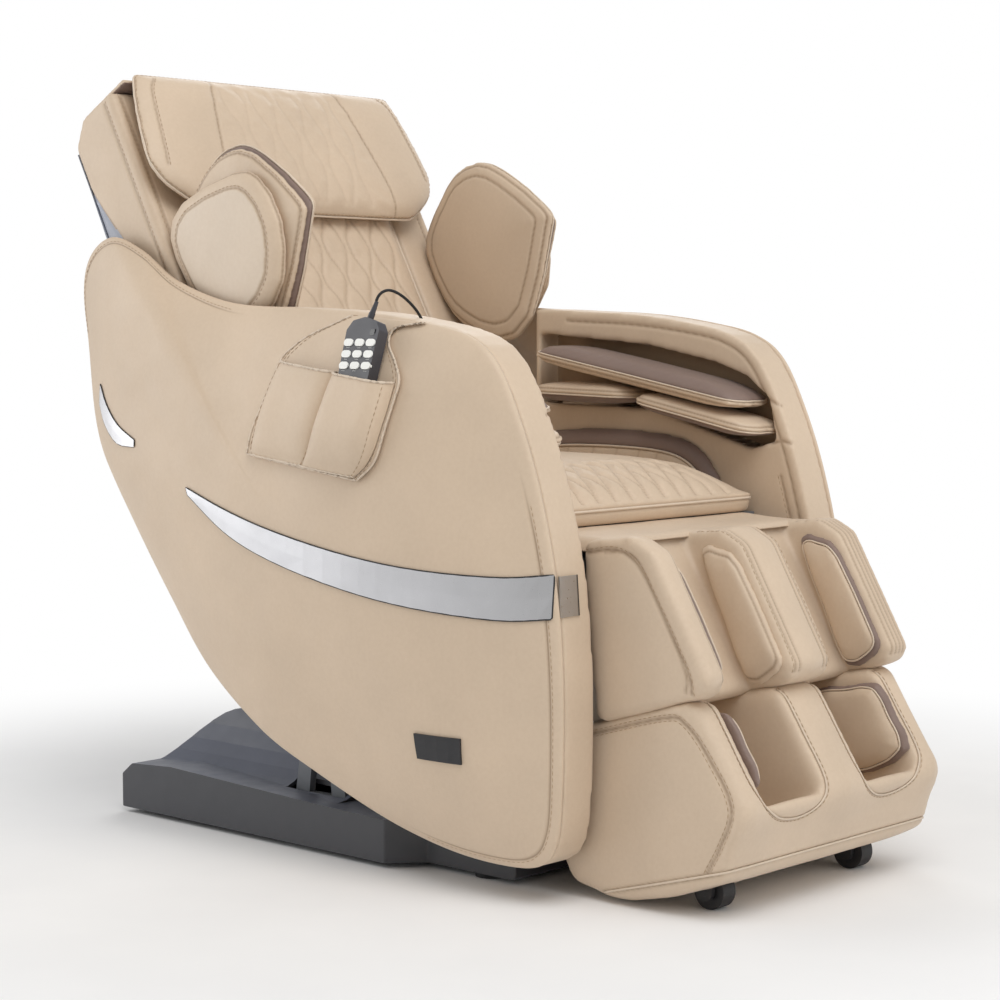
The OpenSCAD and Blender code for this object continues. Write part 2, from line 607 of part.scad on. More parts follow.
// Strip lying on the panel between an upper and a lower edge, both in shares
module strip(upper, lower, thick) {
    n = len(upper);
    function ring(k) =
        let(a = pn(upper[k][0], upper[k][1]), b = pn(lower[k][0], lower[k][1]), m = (a + b) / 2)
        [for (q = [[a, 0], [m, 0], [b, 0], [b, 1], [m, 1], [a, 1]])
            [panel_x(q[0]) + 0.5 + q[1] * thick, q[0][0], q[0][1]]];
    rings = [for (k = [0:n - 1]) ring(k)];
    skin(mean3(rings[0]), rings, mean3(rings[n - 1]));
}
function mean3(p) = [for (k = [0:2]) [for (q = p) q[k]] * [for (q = p) 1] / len(p)];
stripe_top = smooth_open([[0.664, 0.565], [0.57, 0.533], [0.471, 0.506], [0.33, 0.477], [0.211, 0.461],
    [0.085, 0.456], [0.012, 0.463]], 4);
stripe_low = smooth_open([[0.66, 0.553], [0.57, 0.494], [0.471, 0.456], [0.33, 0.421], [0.211, 0.401],
    [0.085, 0.391], [0.012, 0.396]], 4);
sliver_top = smooth_open([[0.924, 0.735], [0.90, 0.70], [0.86, 0.665], [0.807, 0.640]], 3);
sliver_low = smooth_open([[0.924, 0.700], [0.90, 0.662], [0.86, 0.632], [0.807, 0.628]], 3);
stripe_wrap = 34;                     // end of the stripe on the arm's nose
plate_t = 3;
module side_trims() {
    color(silver) both() {
        strip(stripe_top, stripe_low, trim_t);
        strip(sliver_top, sliver_low, trim_t);
        translate([arm_out - stripe_wrap, 0, 0]) nose_strip();
    }
}
module nose_strip() {
    a = pn(0.012, 0.463);
    b = pn(0.008, 0.396);
    d = -1.8;
    plate_x(0, stripe_wrap + 2, [a + [d, -2], b + [d, 2], b + [d - trim_t, 2], a + [d - trim_t, -2]]);
}
module side_plate() {
    u = [for (k = [4:-1:0]) 0.135 + 0.076 * k / 4];
    color(plastic) mirror([1, 0, 0]) strip([for (a = u) [a, 0.203]], [for (a = u) [a, 0.162]], plate_t);
}

channel_top = [[0.56, 0.826], [0.335, 0.806], [0.2, 0.776], [0.14, 0.752], [0.1, 0.715]];
channel_low = [[0.084, 0.64], [0.13, 0.625], [0.32, 0.69], [0.56, 0.697]];
channel = [for (p = concat(channel_top, channel_low)) pn(p[0], p[1])];
channel_deep = arm_w - 14;
module arm() {
    hollow = grow(panel_pts, panel_c, hollow_share);
    difference() {
        union() {
            difference() {
                plate_x(arm_in, arm_out, panel_pts);
                plate_x(arm_in + arm_skin, arm_out + 1, hollow);
            }
            intersection() {
                plate_x(arm_in + 1, arm_out, panel_pts);
                block([arm_in + 1, arm_rear - arm_skin, panel_z0], [arm_out, arm_rear, panel_z0 + panel_h]);
            }
            intersection() {
                plate_x(arm_in + 1, arm_in + channel_deep + 4, grow(channel, mean(channel), 1.04));
                block([arm_in, panel_y0, panel_z0], [arm_out, arm_rear, panel_z0 + panel_h]);
            }
        }
        intersection() {
            plate_x(arm_in - 1, arm_in + channel_deep, channel);
            block([arm_in - 1, panel_y0, panel_z0], [arm_out, arm_rear - arm_skin, panel_z0 + panel_h]);
        }
        block([arm_in - 1, arm_rear, panel_z0 - 10],
            [arm_out + 1, arm_rear + panel_len, panel_z0 + panel_h + 10]);
        rod_x(arm_in - 20, arm_in + arm_skin + 1, tilt_y, tilt_h, 30);
    }
}
module arm_left() {
    color(beige) arm();
}
module arm_right() {
    color(beige) mirror([1, 0, 0]) difference() {
        arm();
        translate([-gland[0], gland[1], gland[2]]) cylinder(h = 20, r = 6);
    }
}
// Arm pad from point a to point b along the arm, with its free edge over the seat
module arm_pad(a, b) {
    d = b - a;
    x = [arm_in - arm_pad_reach, arm_in + channel_deep - seat_gap];
    translate([(x[0] + x[1]) / 2, (a[0] + b[0]) / 2, (a[1] + b[1]) / 2]) rotate([atan2(d[1], d[0]), 0, 0])
        pad(soft_rect(x[1] - x[0], norm(d), 34, 2), arm_pad_t / 2, arm_pad_t / 2, 0.4);
}
module arm_pads() {
    arm_pad(pn(0.113, 0.702), pn(0.53, 0.79));
    arm_pad(pn(0.33, 0.716), pn(0.535, 0.722));
    arm_pad(pn(0.09, 0.658), pn(0.325, 0.712));
}
module arm_pads_left() {
    color(beige) arm_pads();
}
module arm_pads_right() {
    color(beige) mirror([1, 0, 0]) arm_pads();
}
module rear_cover() {
    edge = [for (k = [45:48]) panel_pts[k]];
    out = grow(edge, panel_c, 0.985);
    in = grow(edge, panel_c, 0.972);
    color(plastic) plate_x(seat_gap - arm_out, arm_out - seat_gap,
        concat(out, [for (k = [len(in) - 1:-1:0]) in[k]]));
}

// ---- remote control -----------------------------------------------------------
pocket_at = pn(0.343, 0.858);         // hangs from the arm's top edge here
pocket_w = 292;
pocket_h = 224;
pocket_t = 4;
pocket_lift = 2.6;                    // flap to the panel, at the faces of both
function pk(a, b) = pocket_at + [a * pocket_w, b * pocket_h];
// Rear and front edge of the flap, from its bottom to the arm's top
flap_rear = [pk(0.60, -0.86), pk(0.59, -0.73), pk(0.55, -0.58), pk(0.51, -0.42), pk(0.48, -0.27),
    pk(0.415, -0.185), pk(0.34, -0.124), pk(0.22, -0.06), pk(0.12, -0.005)];
flap_front = [pk(-0.14, -0.985), pk(-0.235, -0.87), pk(-0.28, -0.66), pk(-0.305, -0.50), pk(-0.31, -0.39),
    pk(-0.255, -0.28), pk(-0.18, -0.17), pk(-0.19, -0.08), pk(-0.34, -0.05)];
// Sides of the pouch from its bottom to its mouth, and its two compartments
pouch_rear = [pk(0.57, -0.86), pk(0.56, -0.80), pk(0.54, -0.69), pk(0.52, -0.58), pk(0.50, -0.47),
    pk(0.48, -0.37), pk(0.455, -0.285)];
pouch_front = [pk(-0.13, -0.965), pk(-0.19, -0.90), pk(-0.235, -0.80), pk(-0.26, -0.69), pk(-0.28, -0.58),
    pk(-0.29, -0.49), pk(-0.295, -0.405)];
pouch_seam = 0.52;
pouch_t = [15, 25];
pouch_wall = 2;
// Flap: leather that lies on the panel
module flap() {
    cols = 8;
    function form(lift) = [for (i = [0:len(flap_rear) - 1]) [for (k = [cols:-1:0])
        let(q = flap_rear[i] + (flap_front[i] - flap_rear[i]) * k / cols) [panel_x(q) + lift, q[0], q[1]]]];
    sheet(form(pocket_lift + pocket_t), form(pocket_lift));
}
// Pouch on the flap: a sheet that stands off it, open at the top and sewn down at its seam
module pouch() {
    rows = len(pouch_rear) - 1;
    cols = 16;
    base = pocket_lift + pocket_t + seat_gap;
    function lift(t, v) =
        let(rear = t < pouch_seam, u = rear ? t / pouch_seam : (t - pouch_seam) / (1 - pouch_seam))
        pouch_t[rear ? 0 : 1] * sqrt(1 - pow(abs(2 * u - 1), 5)) * pow(sin(90 * min(1, 0.02 + v * 1.8)), 0.8);
    function form(wall) = [for (i = [0:rows]) [for (k = [cols:-1:0])
        let(q = pouch_rear[i] + (pouch_front[i] - pouch_rear[i]) * k / cols)
        [panel_x(q) + base + wall + lift(k / cols, i / rows), q[0], q[1]]]];
    sheet(form(pouch_wall), form(0));
}
remote_at = pk(-0.095, -0.343);       // middle of the handset over the panel
remote_lean = 17;
remote_out = panel_x(remote_at) + pocket_lift + pocket_t + remote_t / 2 + 3;
// Frame of the handset: X out of its face, Y across, Z up it
module on_remote() {
    translate([-remote_out, remote_at[0], remote_at[1]])
        rotate([0, remote_lean, 0]) rotate([0, 0, 180]) children();
}
key_pitch = 21;
key_size = [17, 10];
key_z = [38, 22, 6];
function key_at(k) = [(k % 3 - 1) * key_pitch, key_z[floor(k / 3)]];
module remote_shape(g) {
    w = remote_w / 2 + g;
    l = remote_l / 2 + g;
    plate_x(-remote_t / 2 - g, remote_t / 2 + g, rounded([[4 - w, -l], [w - 4, -l], [w, l - 18],
        [w - 9, l - 5], [0, l], [9 - w, l - 5], [-w, l - 18]], 5, 4));
}
module remote_pocket() {
    color(beige) mirror([1, 0, 0]) {
        flap();
        pouch();
    }
}
module remote_body() {
    color([0.3, 0.3, 0.33]) on_remote() {
        difference() {
            remote_shape(0);
            for (k = [0:8]) let(p = key_at(k)) translate([remote_t / 2 - 4, p[0], p[1]])
                rotate([0, 90, 0]) key_form(0.3, 6);
            translate([remote_t / 2 - 1, remote_w / 2 - 12, remote_l / 2 - 23]) cube([2, 7, 6]);
        }
        translate([0, 0, remote_l / 2 - 1]) rotate([-relief_lean, 0, 0]) {
            cylinder(h = 9, r = 4.5);
            translate([0, 0, 8]) cylinder(h = 18, r1 = 4, r2 = cord_d / 2 + 0.6);
        }
    }
}
// Flat oval with its axis along Z
module key_form(g, h) {
    r = key_size[1] / 2 + g;
    e = (key_size[0] - key_size[1]) / 2;
    linear_extrude(h) union() {
        for (s = [-1, 1]) translate([0, s * e]) circle(r, $fn = 24);
        square([2 * r, 2 * e], center = true);
    }
}
key_out = 1.6;                        // how far a key stands out of the face
relief_lean = 13;                     // lean of the strain relief towards the front
module key(k) {
    p = key_at(k - 1);
    color([0.92, 0.92, 0.9]) on_remote() translate([remote_t / 2 - 4 + 1.2, p[0], p[1]])
        rotate([0, 90, 0]) key_form(0, 4 - 1.2 + key_out);
}
module key_1() { key(1); }
module key_2() { key(2); }
module key_3() { key(3); }
module key_4() { key(4); }
module key_5() { key(5); }
module key_6() { key(6); }
module key_7() { key(7); }
module key_8() { key(8); }
module key_9() { key(9); }

gland = [-281, -122, 757];            // bottom of the cord's hole in the arm's top
cord_route = [[-350.2, -104, 787.8], [-348.3, -105.2, 793.2], [-344.8, -106.8, 797.8], [-340, -108.6, 801],
    [-334, -110.5, 802.4], [-327, -112.4, 801.4], [-319.5, -114.4, 798.4], [-312, -116.4, 794],
    [-304.5, -118.2, 788.4], [-297.5, -119.8, 782.2], [-291, -121, 775.6], [-285.5, -121.8, 768.8],
    [-282, -122, 763.2], [-281, -122, 757.2]];
module remote_cord() {
    color(black) tube(smooth_open(cord_route, 3), cord_d / 2, 8);
}

// ---- back -----------------------------------------------------------------------
rail_in = lug_x;
rail_out = lug_x + lug_t;
bolster_front = pad_front - 18;       // bolster face behind the pad's face
body_rear = bolster_t - bolster_front;
cross_low = 88;
cross_high = back_len - 34;
screw_n = 35;
rod_x_at = 96;
module back_frame() {
    color(steel) on_back() {
        both() difference() {
            union() {
                block([rail_in, -15, 0], [rail_out, 15, back_len - 30]);
                rod_x(rail_in, rail_out, 0, 0, 24);
            }
            rod_x(rail_in - 1, rail_out + 1, 0, 0, pin_r + run_gap);
        }
        for (z = [cross_low - 10, cross_high - 10]) difference() {
            block([-rail_in - 1, 12, z], [rail_in + 1, 56, z + 10]);
            translate([0, screw_n, z - 1]) cylinder(h = 12, r = screw_r * 0.7 + run_gap);
        }
        for (z = [cross_low - 10, cross_high - 10]) both() block([rail_in, 12, z], [rail_out, 56, z + 10]);
        both() translate([rod_x_at, screw_n, cross_low - 2])
            cylinder(h = cross_high - cross_low - 6, r = rod_r);
        for (x = [-1, 1]) plate_x(recline_x + x * 14 - 4, recline_x + x * 14 + 4, [[14, cross_low - 8],
            [56, cross_low - 8], [lever_l[0] + 13, lever_l[1]],
            [lever_l[0], lever_l[1] - 13], [lever_l[0] - 13, lever_l[1]]]);
        rod_x(recline_x - 18, recline_x + 18, lever_l[0], lever_l[1], eye_pin_r);
    }
}
lever_l = let(d = recline_eye - [hip_y, hip_h], c = cos(back_lean), s = sin(back_lean))
    [d[0] * c - d[1] * s, d[0] * s + d[1] * c];
top_block = 26;                       // height of the block across the top of the back
bevel = 40;                           // fall of the top behind, in degrees
bevel_in = 40;                        // start of that fall from the rear face
module back_bolsters() {
    face = rail_in + 2;
    color(beige) on_back() {
        both() difference() {
            translate([0, 0, 30]) linear_extrude(back_len - 30) polygon(rounded([[face, -bolster_front],
                [back_w / 2, -bolster_front], [back_w / 2, body_rear], [rail_out + 12, body_rear],
                [rail_out + 3, 24], [face, 24]], 9, 4));
            block([face - 1, -15 - seat_gap, 0], [rail_out + seat_gap, 30, back_len - top_block]);
            translate([0, body_rear - bevel_in, back_len]) rotate([-bevel, 0, 0]) cube([400, 120, 120]);
        }
        difference() {
            block([-rail_out - 3, -bolster_front, back_len - top_block], [rail_out + 3, body_rear, back_len]);
            translate([-400, body_rear - bevel_in, back_len]) rotate([-bevel, 0, 0]) cube([800, 120, 120]);
        }
    }
}
// Rear shell: a bowed cover over the mechanism, on the bolsters' rear faces
shell_z = [20, back_len - 55];        // lower and upper edge
shell_ends = 0.5;                     // share of the swell that is left at those edges
module back_shell() {
    cols = 14;
    rows = 9;
    edge = asin(shell_ends * shell_ends);
    function bow(f) = [for (i = [0:rows]) [for (k = [0:cols]) let(t = 2 * k / cols - 1,
        a = edge + (180 - 2 * edge) * i / rows)
        [t * (back_w / 2 - 4 - f), body_rear + seat_gap
            + (shell_bulge - f) * sqrt(max(0, 1 - t * t)) * sqrt(sin(a)),
            shell_z[0] + (shell_z[1] - shell_z[0]) * i / rows]]];
    color(shell_grey) on_back() sheet(bow(shell_wall), bow(0));
}
module back_pad() {
    w = rail_in - 2;
    l = back_len - top_block - seat_gap - 10;
    color(beige) on_back() translate([0, -pad_front + back_pad_t, 10]) rotate([90, 0, 0])
        quilted([w - 10, w, w, w, w, w, w, w, w - 2, w - 16], l, back_pad_t, 8, 16, 22, 0.75, 0.25, 0.85);
}
pillow_back = pad_front + 4;          // the pillow lies on the pad here
flap_t = 9;                           // thickness of the flap behind the pillow
flap_in = 20;                         // flap's end from the pillow's side
module head_pillow() {
    x = pillow_w / 2;
    color(beige) on_back() {
        translate([0, -pillow_back, back_len + 10 - pillow_len]) rotate([90, 0, 0])
            quilted([x - 86, x - 44, x - 16, x - 2, x, x - 2, x - 6, x - 10, x - 16, x - 22, x - 30],
                pillow_len, pillow_t, 14, 22, 14, 0.5, 0.1, 0.95);
        // flap over the top of the back
        plate_x(flap_in - x, x - flap_in, [[seat_gap - pillow_back, back_len + flap_t],
            [seat_gap - pillow_back, back_len + seat_gap], [body_rear - 39.9, back_len + seat_gap],
            [body_rear - 22, back_len - 14.7], [body_rear - 14, back_len - 8],
            [body_rear - 30, back_len + flap_t]]);
    }
}
// Shoulder wing: outer pad, middle leaf and inner leaf, side by side on the bolster
wing_in = seat_w / 2 - 12;
wing_t = [20, 20, 24];
leaf_in = [[-228, 513], [-271, 466], [-323, 367], [-311, 335], [-204, 226], [-129, 226], [-70, 290],
    [-47.3, 350], [-47.3, 440], [-76, 478], [-125, 505], [-170, 523]];
leaf_mid = [[-215, 507], [-262, 474], [-314, 366], [-304, 330], [-200, 235], [-129, 233], [-70, 290],
    [-47.3, 350], [-47.3, 440], [-76, 474], [-120, 495], [-165, 510]];
leaf_out = [[-101, 488], [-222, 465], [-268, 430], [-280, 350], [-240, 270], [-160, 240], [-100, 262],
    [-60, 320], [-48.3, 380], [-48.3, 455]];
module leaf(shape, x, t, up) {
    translate([x, 0, 0]) rotate([90, 0, 90]) pad(smooth(shape, 2), t * up, t * (1 - up), 0.35);
}
module shoulder_wing() {
    x = wing_in;
    leaf(leaf_in, x + wing_t[0], wing_t[0] - 0.2, 0.02);
    leaf(leaf_mid, x + wing_t[0] + wing_t[1] / 2, wing_t[1] - 0.4, 0.5);
    leaf(leaf_out, x + wing_t[0] + wing_t[1] + 0.4, wing_t[2] - 0.2, 0.98);
}
module shoulder_wing_left() {
    color(beige) on_back() shoulder_wing();
}
module shoulder_wing_right() {
    color(beige) on_back() mirror([1, 0, 0]) shoulder_wing();
}

// ---- massage mechanism ------------------------------------------------------------
carriage_z = 180;                     // middle of the carriage at rest
arm_x = 42;
arm_t = 8;
arm_reach = 45;
roller_n = -12;
module massage_carriage() {
    z = carriage_z - carriage_h / 2;
    color(plastic) on_back() difference() {
        union() {
            block([-carriage_w / 2, 10, z], [carriage_w / 2, 58, z + carriage_h]);
            both() block([arm_x - 9, -6, carriage_z - 14], [arm_x - 1, 11, carriage_z + 14]);
            both() rod_x(arm_x - 4, arm_x + arm_t + 1, 0, carriage_z, 6);
        }
        translate([0, screw_n, z - 1]) cylinder(h = carriage_h + 2, r = screw_r + run_gap);
        both() translate([rod_x_at, screw_n, z - 1]) cylinder(h = carriage_h + 2, r = rod_r + run_gap);
    }
}
module lead_screw() {
    color(silver) on_back() {
        translate([0, screw_n, cross_low]) cylinder(h = cross_high - 10 - cross_low, r = screw_r);
        translate([0, screw_n, cross_low - 14]) cylinder(h = cross_high - cross_low + 18, r = screw_r * 0.7);
    }
}
module roller_arm() {
    r = 9;
    difference() {
        union() {
            for (s = [-1, 1]) plate_x(arm_x, arm_x + arm_t, [[-r, carriage_z - s * 0.01], [r, carriage_z],
                [roller_n + r, carriage_z + s * arm_reach], [roller_n - r, carriage_z + s * arm_reach]]);
            rod_x(arm_x, arm_x + arm_t, 0, carriage_z, r);
            for (s = [-1, 1]) {
                rod_x(arm_x, arm_x + arm_t, roller_n, carriage_z + s * arm_reach, r);
                rod_x(arm_x, arm_x + arm_t + roller_w + 4, roller_n, carriage_z + s * arm_reach, 5);
            }
        }
        rod_x(arm_x - 1, arm_x + arm_t + 2, 0, carriage_z, 6 + run_gap);
    }
}
module roller_arm_left() {
    color(steel) on_back() roller_arm();
}
module roller_arm_right() {
    color(steel) on_back() mirror([1, 0, 0]) roller_arm();
}
module roller(side, s) {
    a = arm_x + arm_t + 1.5;
    color(black) on_back() mirror([side < 0 ? 1 : 0, 0, 0]) difference() {
        union() {
            rod_x(a, a + roller_w, roller_n, carriage_z + s * arm_reach, roller_r * 0.8);
            rod_x(a + roller_w * 0.2, a + roller_w * 0.8, roller_n, carriage_z + s * arm_reach, roller_r);
        }
        rod_x(a - 1, a + roller_w + 1, roller_n, carriage_z + s * arm_reach, 5 + run_gap);
    }
}
module roller_1() { roller(1, 1); }
module roller_2() { roller(1, -1); }
module roller_3() { roller(-1, 1); }
module roller_4() { roller(-1, -1); }

// ---- leg rest -----------------------------------------------------------------------
calf_side = [[-30, 25], [-112, 11], [-141, -16], [-184, -190], [-166, -206], [7, -206]];
function calf_rear(s) = -30 + 37 * (25 - s) / 231;     // rear face of the calf rest at height s
calf_front = -138;                    // front face of the calf walls, square to the face
calf_face = 13.3;                     // slope of that face to the leg
calf_depth = 92;
divider_w = 88;
wall_x = divider_w / 2 + calf_channel_w;
foot_side = [[57, -210], [-149, -210], [-196, -361], [-137, -428], [-2, -436], [105, -407], [113, -372]];
foot_face = 17.4;
foot_travel = 120;
lever_leg = let(d = [leg_eye_y - knee_y, -leg_lever * cos(40)], c = cos(leg_tilt), s = sin(leg_tilt))
    [d[0] * c - d[1] * s, d[0] * s + d[1] * c];
rod_at = 120;                         // slide rods of the foot rest, across the chair
rod_back = 34;

module calf_body() {
    x = leg_w / 2;
    f = calf_front;
    b = calf_front + calf_depth;
    color(beige) on_leg() intersection() {
        plate_x(-x, x, rounded([for (k = [5:-1:0]) calf_side[k]], 11, 5));
        rotate([-calf_face, 0, 0]) translate([0, 0, -260]) linear_extrude(360) polygon(rounded([
            [-x, 80], [-x, f], [-wall_x, f], [-wall_x, b], [-divider_w / 2, b], [-divider_w / 2, f],
            [divider_w / 2, f], [divider_w / 2, b], [wall_x, b], [wall_x, f], [x, f], [x, 80]], 12, 5));
    }
}
calf_pad_t = 20;
calf_pad_shape = [[-76, -6], [-112, -14], [-137, -38], [-168, -160], [-170, -184], [-150, -198], [-108, -200],
    [-92, -110]];
module side_pad(shape, x, t) {
    s = smooth(shape, 2);
    translate([x, 0, 0]) rotate([90, 0, 90]) pad(s, max(t, flat), max(-t, flat), 0.4);
}
module calf_pads() {
    color(beige) on_leg() both() {
        side_pad(calf_pad_shape, divider_w / 2 + seat_gap, calf_pad_t);
        side_pad(calf_pad_shape, wall_x - seat_gap, -calf_pad_t);
    }
}
module calf_frame() {
    r = pin_r + 5;
    function front(s) = calf_rear(s) + seat_gap;
    color(steel) on_leg() {
        difference() {
            union() {
                rod_x(-lug_x - lug_t, lug_x + lug_t, 0, 0, r);
                for (x = [-150, -100, 100, 150]) plate_x(x - 4, x + 4, [[-12, 10], [-14, 0], [front(-8), -8],
                    [front(-200), -200], [rod_back + 14, -200], [rod_back + 14, -140], [12, -8]]);
                plate_x(-170, 170, [[front(-8), -8], [front(-8) + 6, -8], [front(-200) + 6, -200],
                    [front(-200), -200]]);
                both() for (z = [-200]) block([rod_at - 24, 12, z], [rod_at + 24, rod_back + 20, z + 60]);
                for (x = [-1, 1]) {
                    plate_x(leg_x + x * 14 - 4, leg_x + x * 14 + 4, [[-14, -4], [0, 14], lever_leg + [13, 4],
                        lever_leg + [-6, -12]]);
                    rod_x(leg_x + x * 14 - 4, leg_x + x * 14 + 4, lever_leg[0], lever_leg[1], 13);
                }
                rod_x(leg_x - 18, leg_x + 18, lever_leg[0], lever_leg[1], eye_pin_r);
            }
            rod_x(-arm_in, arm_in, 0, 0, pin_r + run_gap);
            both() translate([rod_at, rod_back, -230]) cylinder(h = 240, r = rod_r + run_gap);
        }
    }
}
module foot_slide() {
    color(silver) on_leg() {
        both() translate([rod_at, rod_back, -210 + seat_gap]) cylinder(h = 190, r = rod_r);
    }
}
well_in = divider_w / 2 + 4;
well_shape = [[-300, -150], [-4, -150], [-4, -290], [18, -380], [-90, -392], [-206, -350], [-300, -335]];
module foot_body() {
    x = leg_w / 2;
    color(beige) on_leg() difference() {
        intersection() {
            plate_x(-x, x, rounded([for (k = [6:-1:0]) foot_side[k]], 24, 6));
            rotate([-foot_face, 0, 0]) translate([0, 0, -520]) linear_extrude(520) polygon(rounded([
                [-x, 250], [-x, -82], [x, -82], [x, 250]], 26, 5));
        }
        both() plate_x(well_in, well_in + foot_well_w + foot_pad_t,
            rounded([for (k = [6:-1:0]) well_shape[k]], 18, 5));
        both() rod_x(wheel_x - wheel_w / 2 - 3, wheel_x + wheel_w / 2 + 3,
            wheel_l[0], wheel_l[1], wheel_r + 4);
    }
    color(black) on_leg() both() for (s = [-1, 1]) difference() {
        fork(s);
        rod_x(wheel_x - wheel_w, wheel_x + wheel_w, wheel_l[0], wheel_l[1], axle_r + run_gap);
    }
}
// Bracket beside a wheel, for the end of its axle
module fork(s) {
    a = s * (wheel_w / 2 + fork_gap);
    b = a + s * fork_t;
    plate_x(wheel_x + min(a, b), wheel_x + max(a, b), [wheel_l + [-22, 26], wheel_l + [-11, -6],
        wheel_l + [-6, -11], wheel_l + [6, -11], wheel_l + [11, -6], wheel_l + [22, 26]]);
}
foot_pad_t = 26;
foot_pad_shape = [[-40, -222], [-110, -226], [-160, -232], [-176, -280], [-186, -330], [-120, -352],
    [-50, -340],
    [-28, -280]];
module foot_pads() {
    color(beige) on_leg() both()
        side_pad(foot_pad_shape, well_in + foot_well_w + foot_pad_t - seat_gap, -foot_pad_t);
}
wheel_x = 158;
axle_r = 5;
fork_gap = 3;                         // wheel to the bracket beside it
fork_t = 7;
wheel_l = let(y = -65) [y, (wheel_r - knee_h + y * sin(leg_tilt)) / cos(leg_tilt)];
module foot_wheel(side) {
    axle = wheel_w / 2 + fork_gap + fork_t;
    color(black) on_leg() {
        rod_x(side * wheel_x - wheel_w / 2, side * wheel_x + wheel_w / 2, wheel_l[0], wheel_l[1], wheel_r);
        rod_x(side * wheel_x - axle, side * wheel_x + axle, wheel_l[0], wheel_l[1], axle_r);
    }
}
module foot_wheel_left() {
    foot_wheel(1);
}
module foot_wheel_right() {
    foot_wheel(-1);
}

base_frame();
base_cover();
rubber_feet();
power_inlet();
power_switch();
air_pump();
power_unit();
tilt_motor();
tilt_rod();
seat_frame();
seat_cushion();
side_panel_left();
side_panel_right();
side_trims();
arm_left();
arm_right();
arm_pads_left();
arm_pads_right();
hip_airbags();
side_plate();
remote_pocket();
rear_cover();
remote_body();
remote_cord();
key_1();
key_2();
key_3();
key_4();
key_5();
key_6();
key_7();
key_8();
key_9();
back_frame();
back_shell();
back_bolsters();
back_pad();
head_pillow();
shoulder_wing_left();
shoulder_wing_right();
recline_motor();
recline_rod();
massage_carriage();
lead_screw();
roller_arm_left();
roller_arm_right();
roller_1();
roller_2();
roller_3();
roller_4();
calf_frame();
calf_body();
calf_pads();
foot_slide();
foot_body();
foot_pads();
foot_wheel_left();
foot_wheel_right();
leg_motor();
leg_rod();
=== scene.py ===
import itertools
import math

import bmesh
import bpy
import numpy as np
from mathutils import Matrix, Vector
from mathutils.bvhtree import BVHTree


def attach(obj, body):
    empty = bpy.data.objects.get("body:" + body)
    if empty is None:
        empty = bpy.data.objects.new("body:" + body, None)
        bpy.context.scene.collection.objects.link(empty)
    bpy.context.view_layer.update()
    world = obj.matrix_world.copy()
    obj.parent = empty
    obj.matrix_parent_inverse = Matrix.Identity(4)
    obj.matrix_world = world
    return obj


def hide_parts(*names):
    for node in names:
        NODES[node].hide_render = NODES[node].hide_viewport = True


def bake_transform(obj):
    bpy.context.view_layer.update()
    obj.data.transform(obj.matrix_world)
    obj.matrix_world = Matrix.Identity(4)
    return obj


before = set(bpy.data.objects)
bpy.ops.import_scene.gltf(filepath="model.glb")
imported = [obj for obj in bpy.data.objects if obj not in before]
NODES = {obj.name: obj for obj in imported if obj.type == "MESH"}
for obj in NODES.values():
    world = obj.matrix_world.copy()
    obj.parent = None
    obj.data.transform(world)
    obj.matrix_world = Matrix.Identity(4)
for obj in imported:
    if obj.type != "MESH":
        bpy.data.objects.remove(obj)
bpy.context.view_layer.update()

MM = 0.001

# Metres
SAME_POINT = 1e-6         # points closer than this are one
SEAM_STEP = 0.003         # spacing of the points along a seam
RAY_REACH = 0.35          # how far a drawn seam looks for the surface, each way
SEAM_SHADE_WIDTH = 0.0021        # width of the painted shade along a seam
SEAM_HOLD = 0.0035        # leather this near a seam stays put while it swells
STITCH_PITCH, STITCH_LENGTH, STITCH_WIDTH = 0.0085, 0.0062, 0.0011

CLOTH_FRAMES, CLOTH_PRESSURE = 20, 4.0


def link(name, data):
    obj = bpy.data.objects.new(name, data)
    bpy.context.scene.collection.objects.link(obj)
    return obj


# ---- camera ----
camera = link("camera", bpy.data.cameras.new("camera"))
camera.data.lens = 83.99
camera.data.sensor_width = 36
camera.location = (-2.542, -2.352, 0.751)
camera.rotation_euler = (math.radians(85.8), 0, math.radians(-47.3))
bpy.context.scene.camera = camera
bpy.context.scene.view_settings.view_transform = "Standard"


# ---- curves ----
def smooth(points, n, closed=False):
    """Catmull-Rom curve through the points, n steps from each to the next."""
    p = np.array(points, float)
    m = len(p)
    if not closed:
        p = np.vstack([2 * p[0] - p[1], p, 2 * p[-1] - p[-2]])
    out = []
    for i in range(m if closed else m - 1):
        a, b, c, d = (p[(i + k) % len(p)] for k in ((-1, 0, 1, 2) if closed else (0, 1, 2, 3)))
        for k in range(n):
            t = k / n
            out.append(0.5 * (2 * b + (c - a) * t + (2 * a - 5 * b + 4 * c - d) * t * t
                              + (3 * b - a - 3 * c + d) * t ** 3))
    if not closed:
        out.append(p[-2])
    return np.array(out)


def spaced(points, pitch, closed=False):
    """Points along a line, evenly spaced."""
    p = np.array(points, float)
    if closed:
        p = np.vstack([p, p[:1]])
    at = np.concatenate([[0], np.cumsum(np.linalg.norm(np.diff(p, axis=0), axis=1))])
    n = max(2, int(round(at[-1] / pitch)))
    t = np.linspace(0, at[-1], n + 1)
    q = np.stack([np.interp(t, at, p[:, k]) for k in range(p.shape[1])], 1)
    return q[:-1] if closed else q


# ---- meshes ----
def from_arrays(name, verts, faces):
    mesh = bpy.data.meshes.new(name)
    mesh.from_pydata([tuple(v) for v in verts], [], [tuple(int(i) for i in f) for f in faces])
    mesh.update()
    return link(name, mesh)


def per_vertex(obj, key):
    out = np.empty(len(obj.data.vertices) * 3)
    obj.data.vertices.foreach_get(key, out)
    return out.reshape(-1, 3)


def coords(obj):
    return per_vertex(obj, "co")


def normals(obj):
    return per_vertex(obj, "normal")


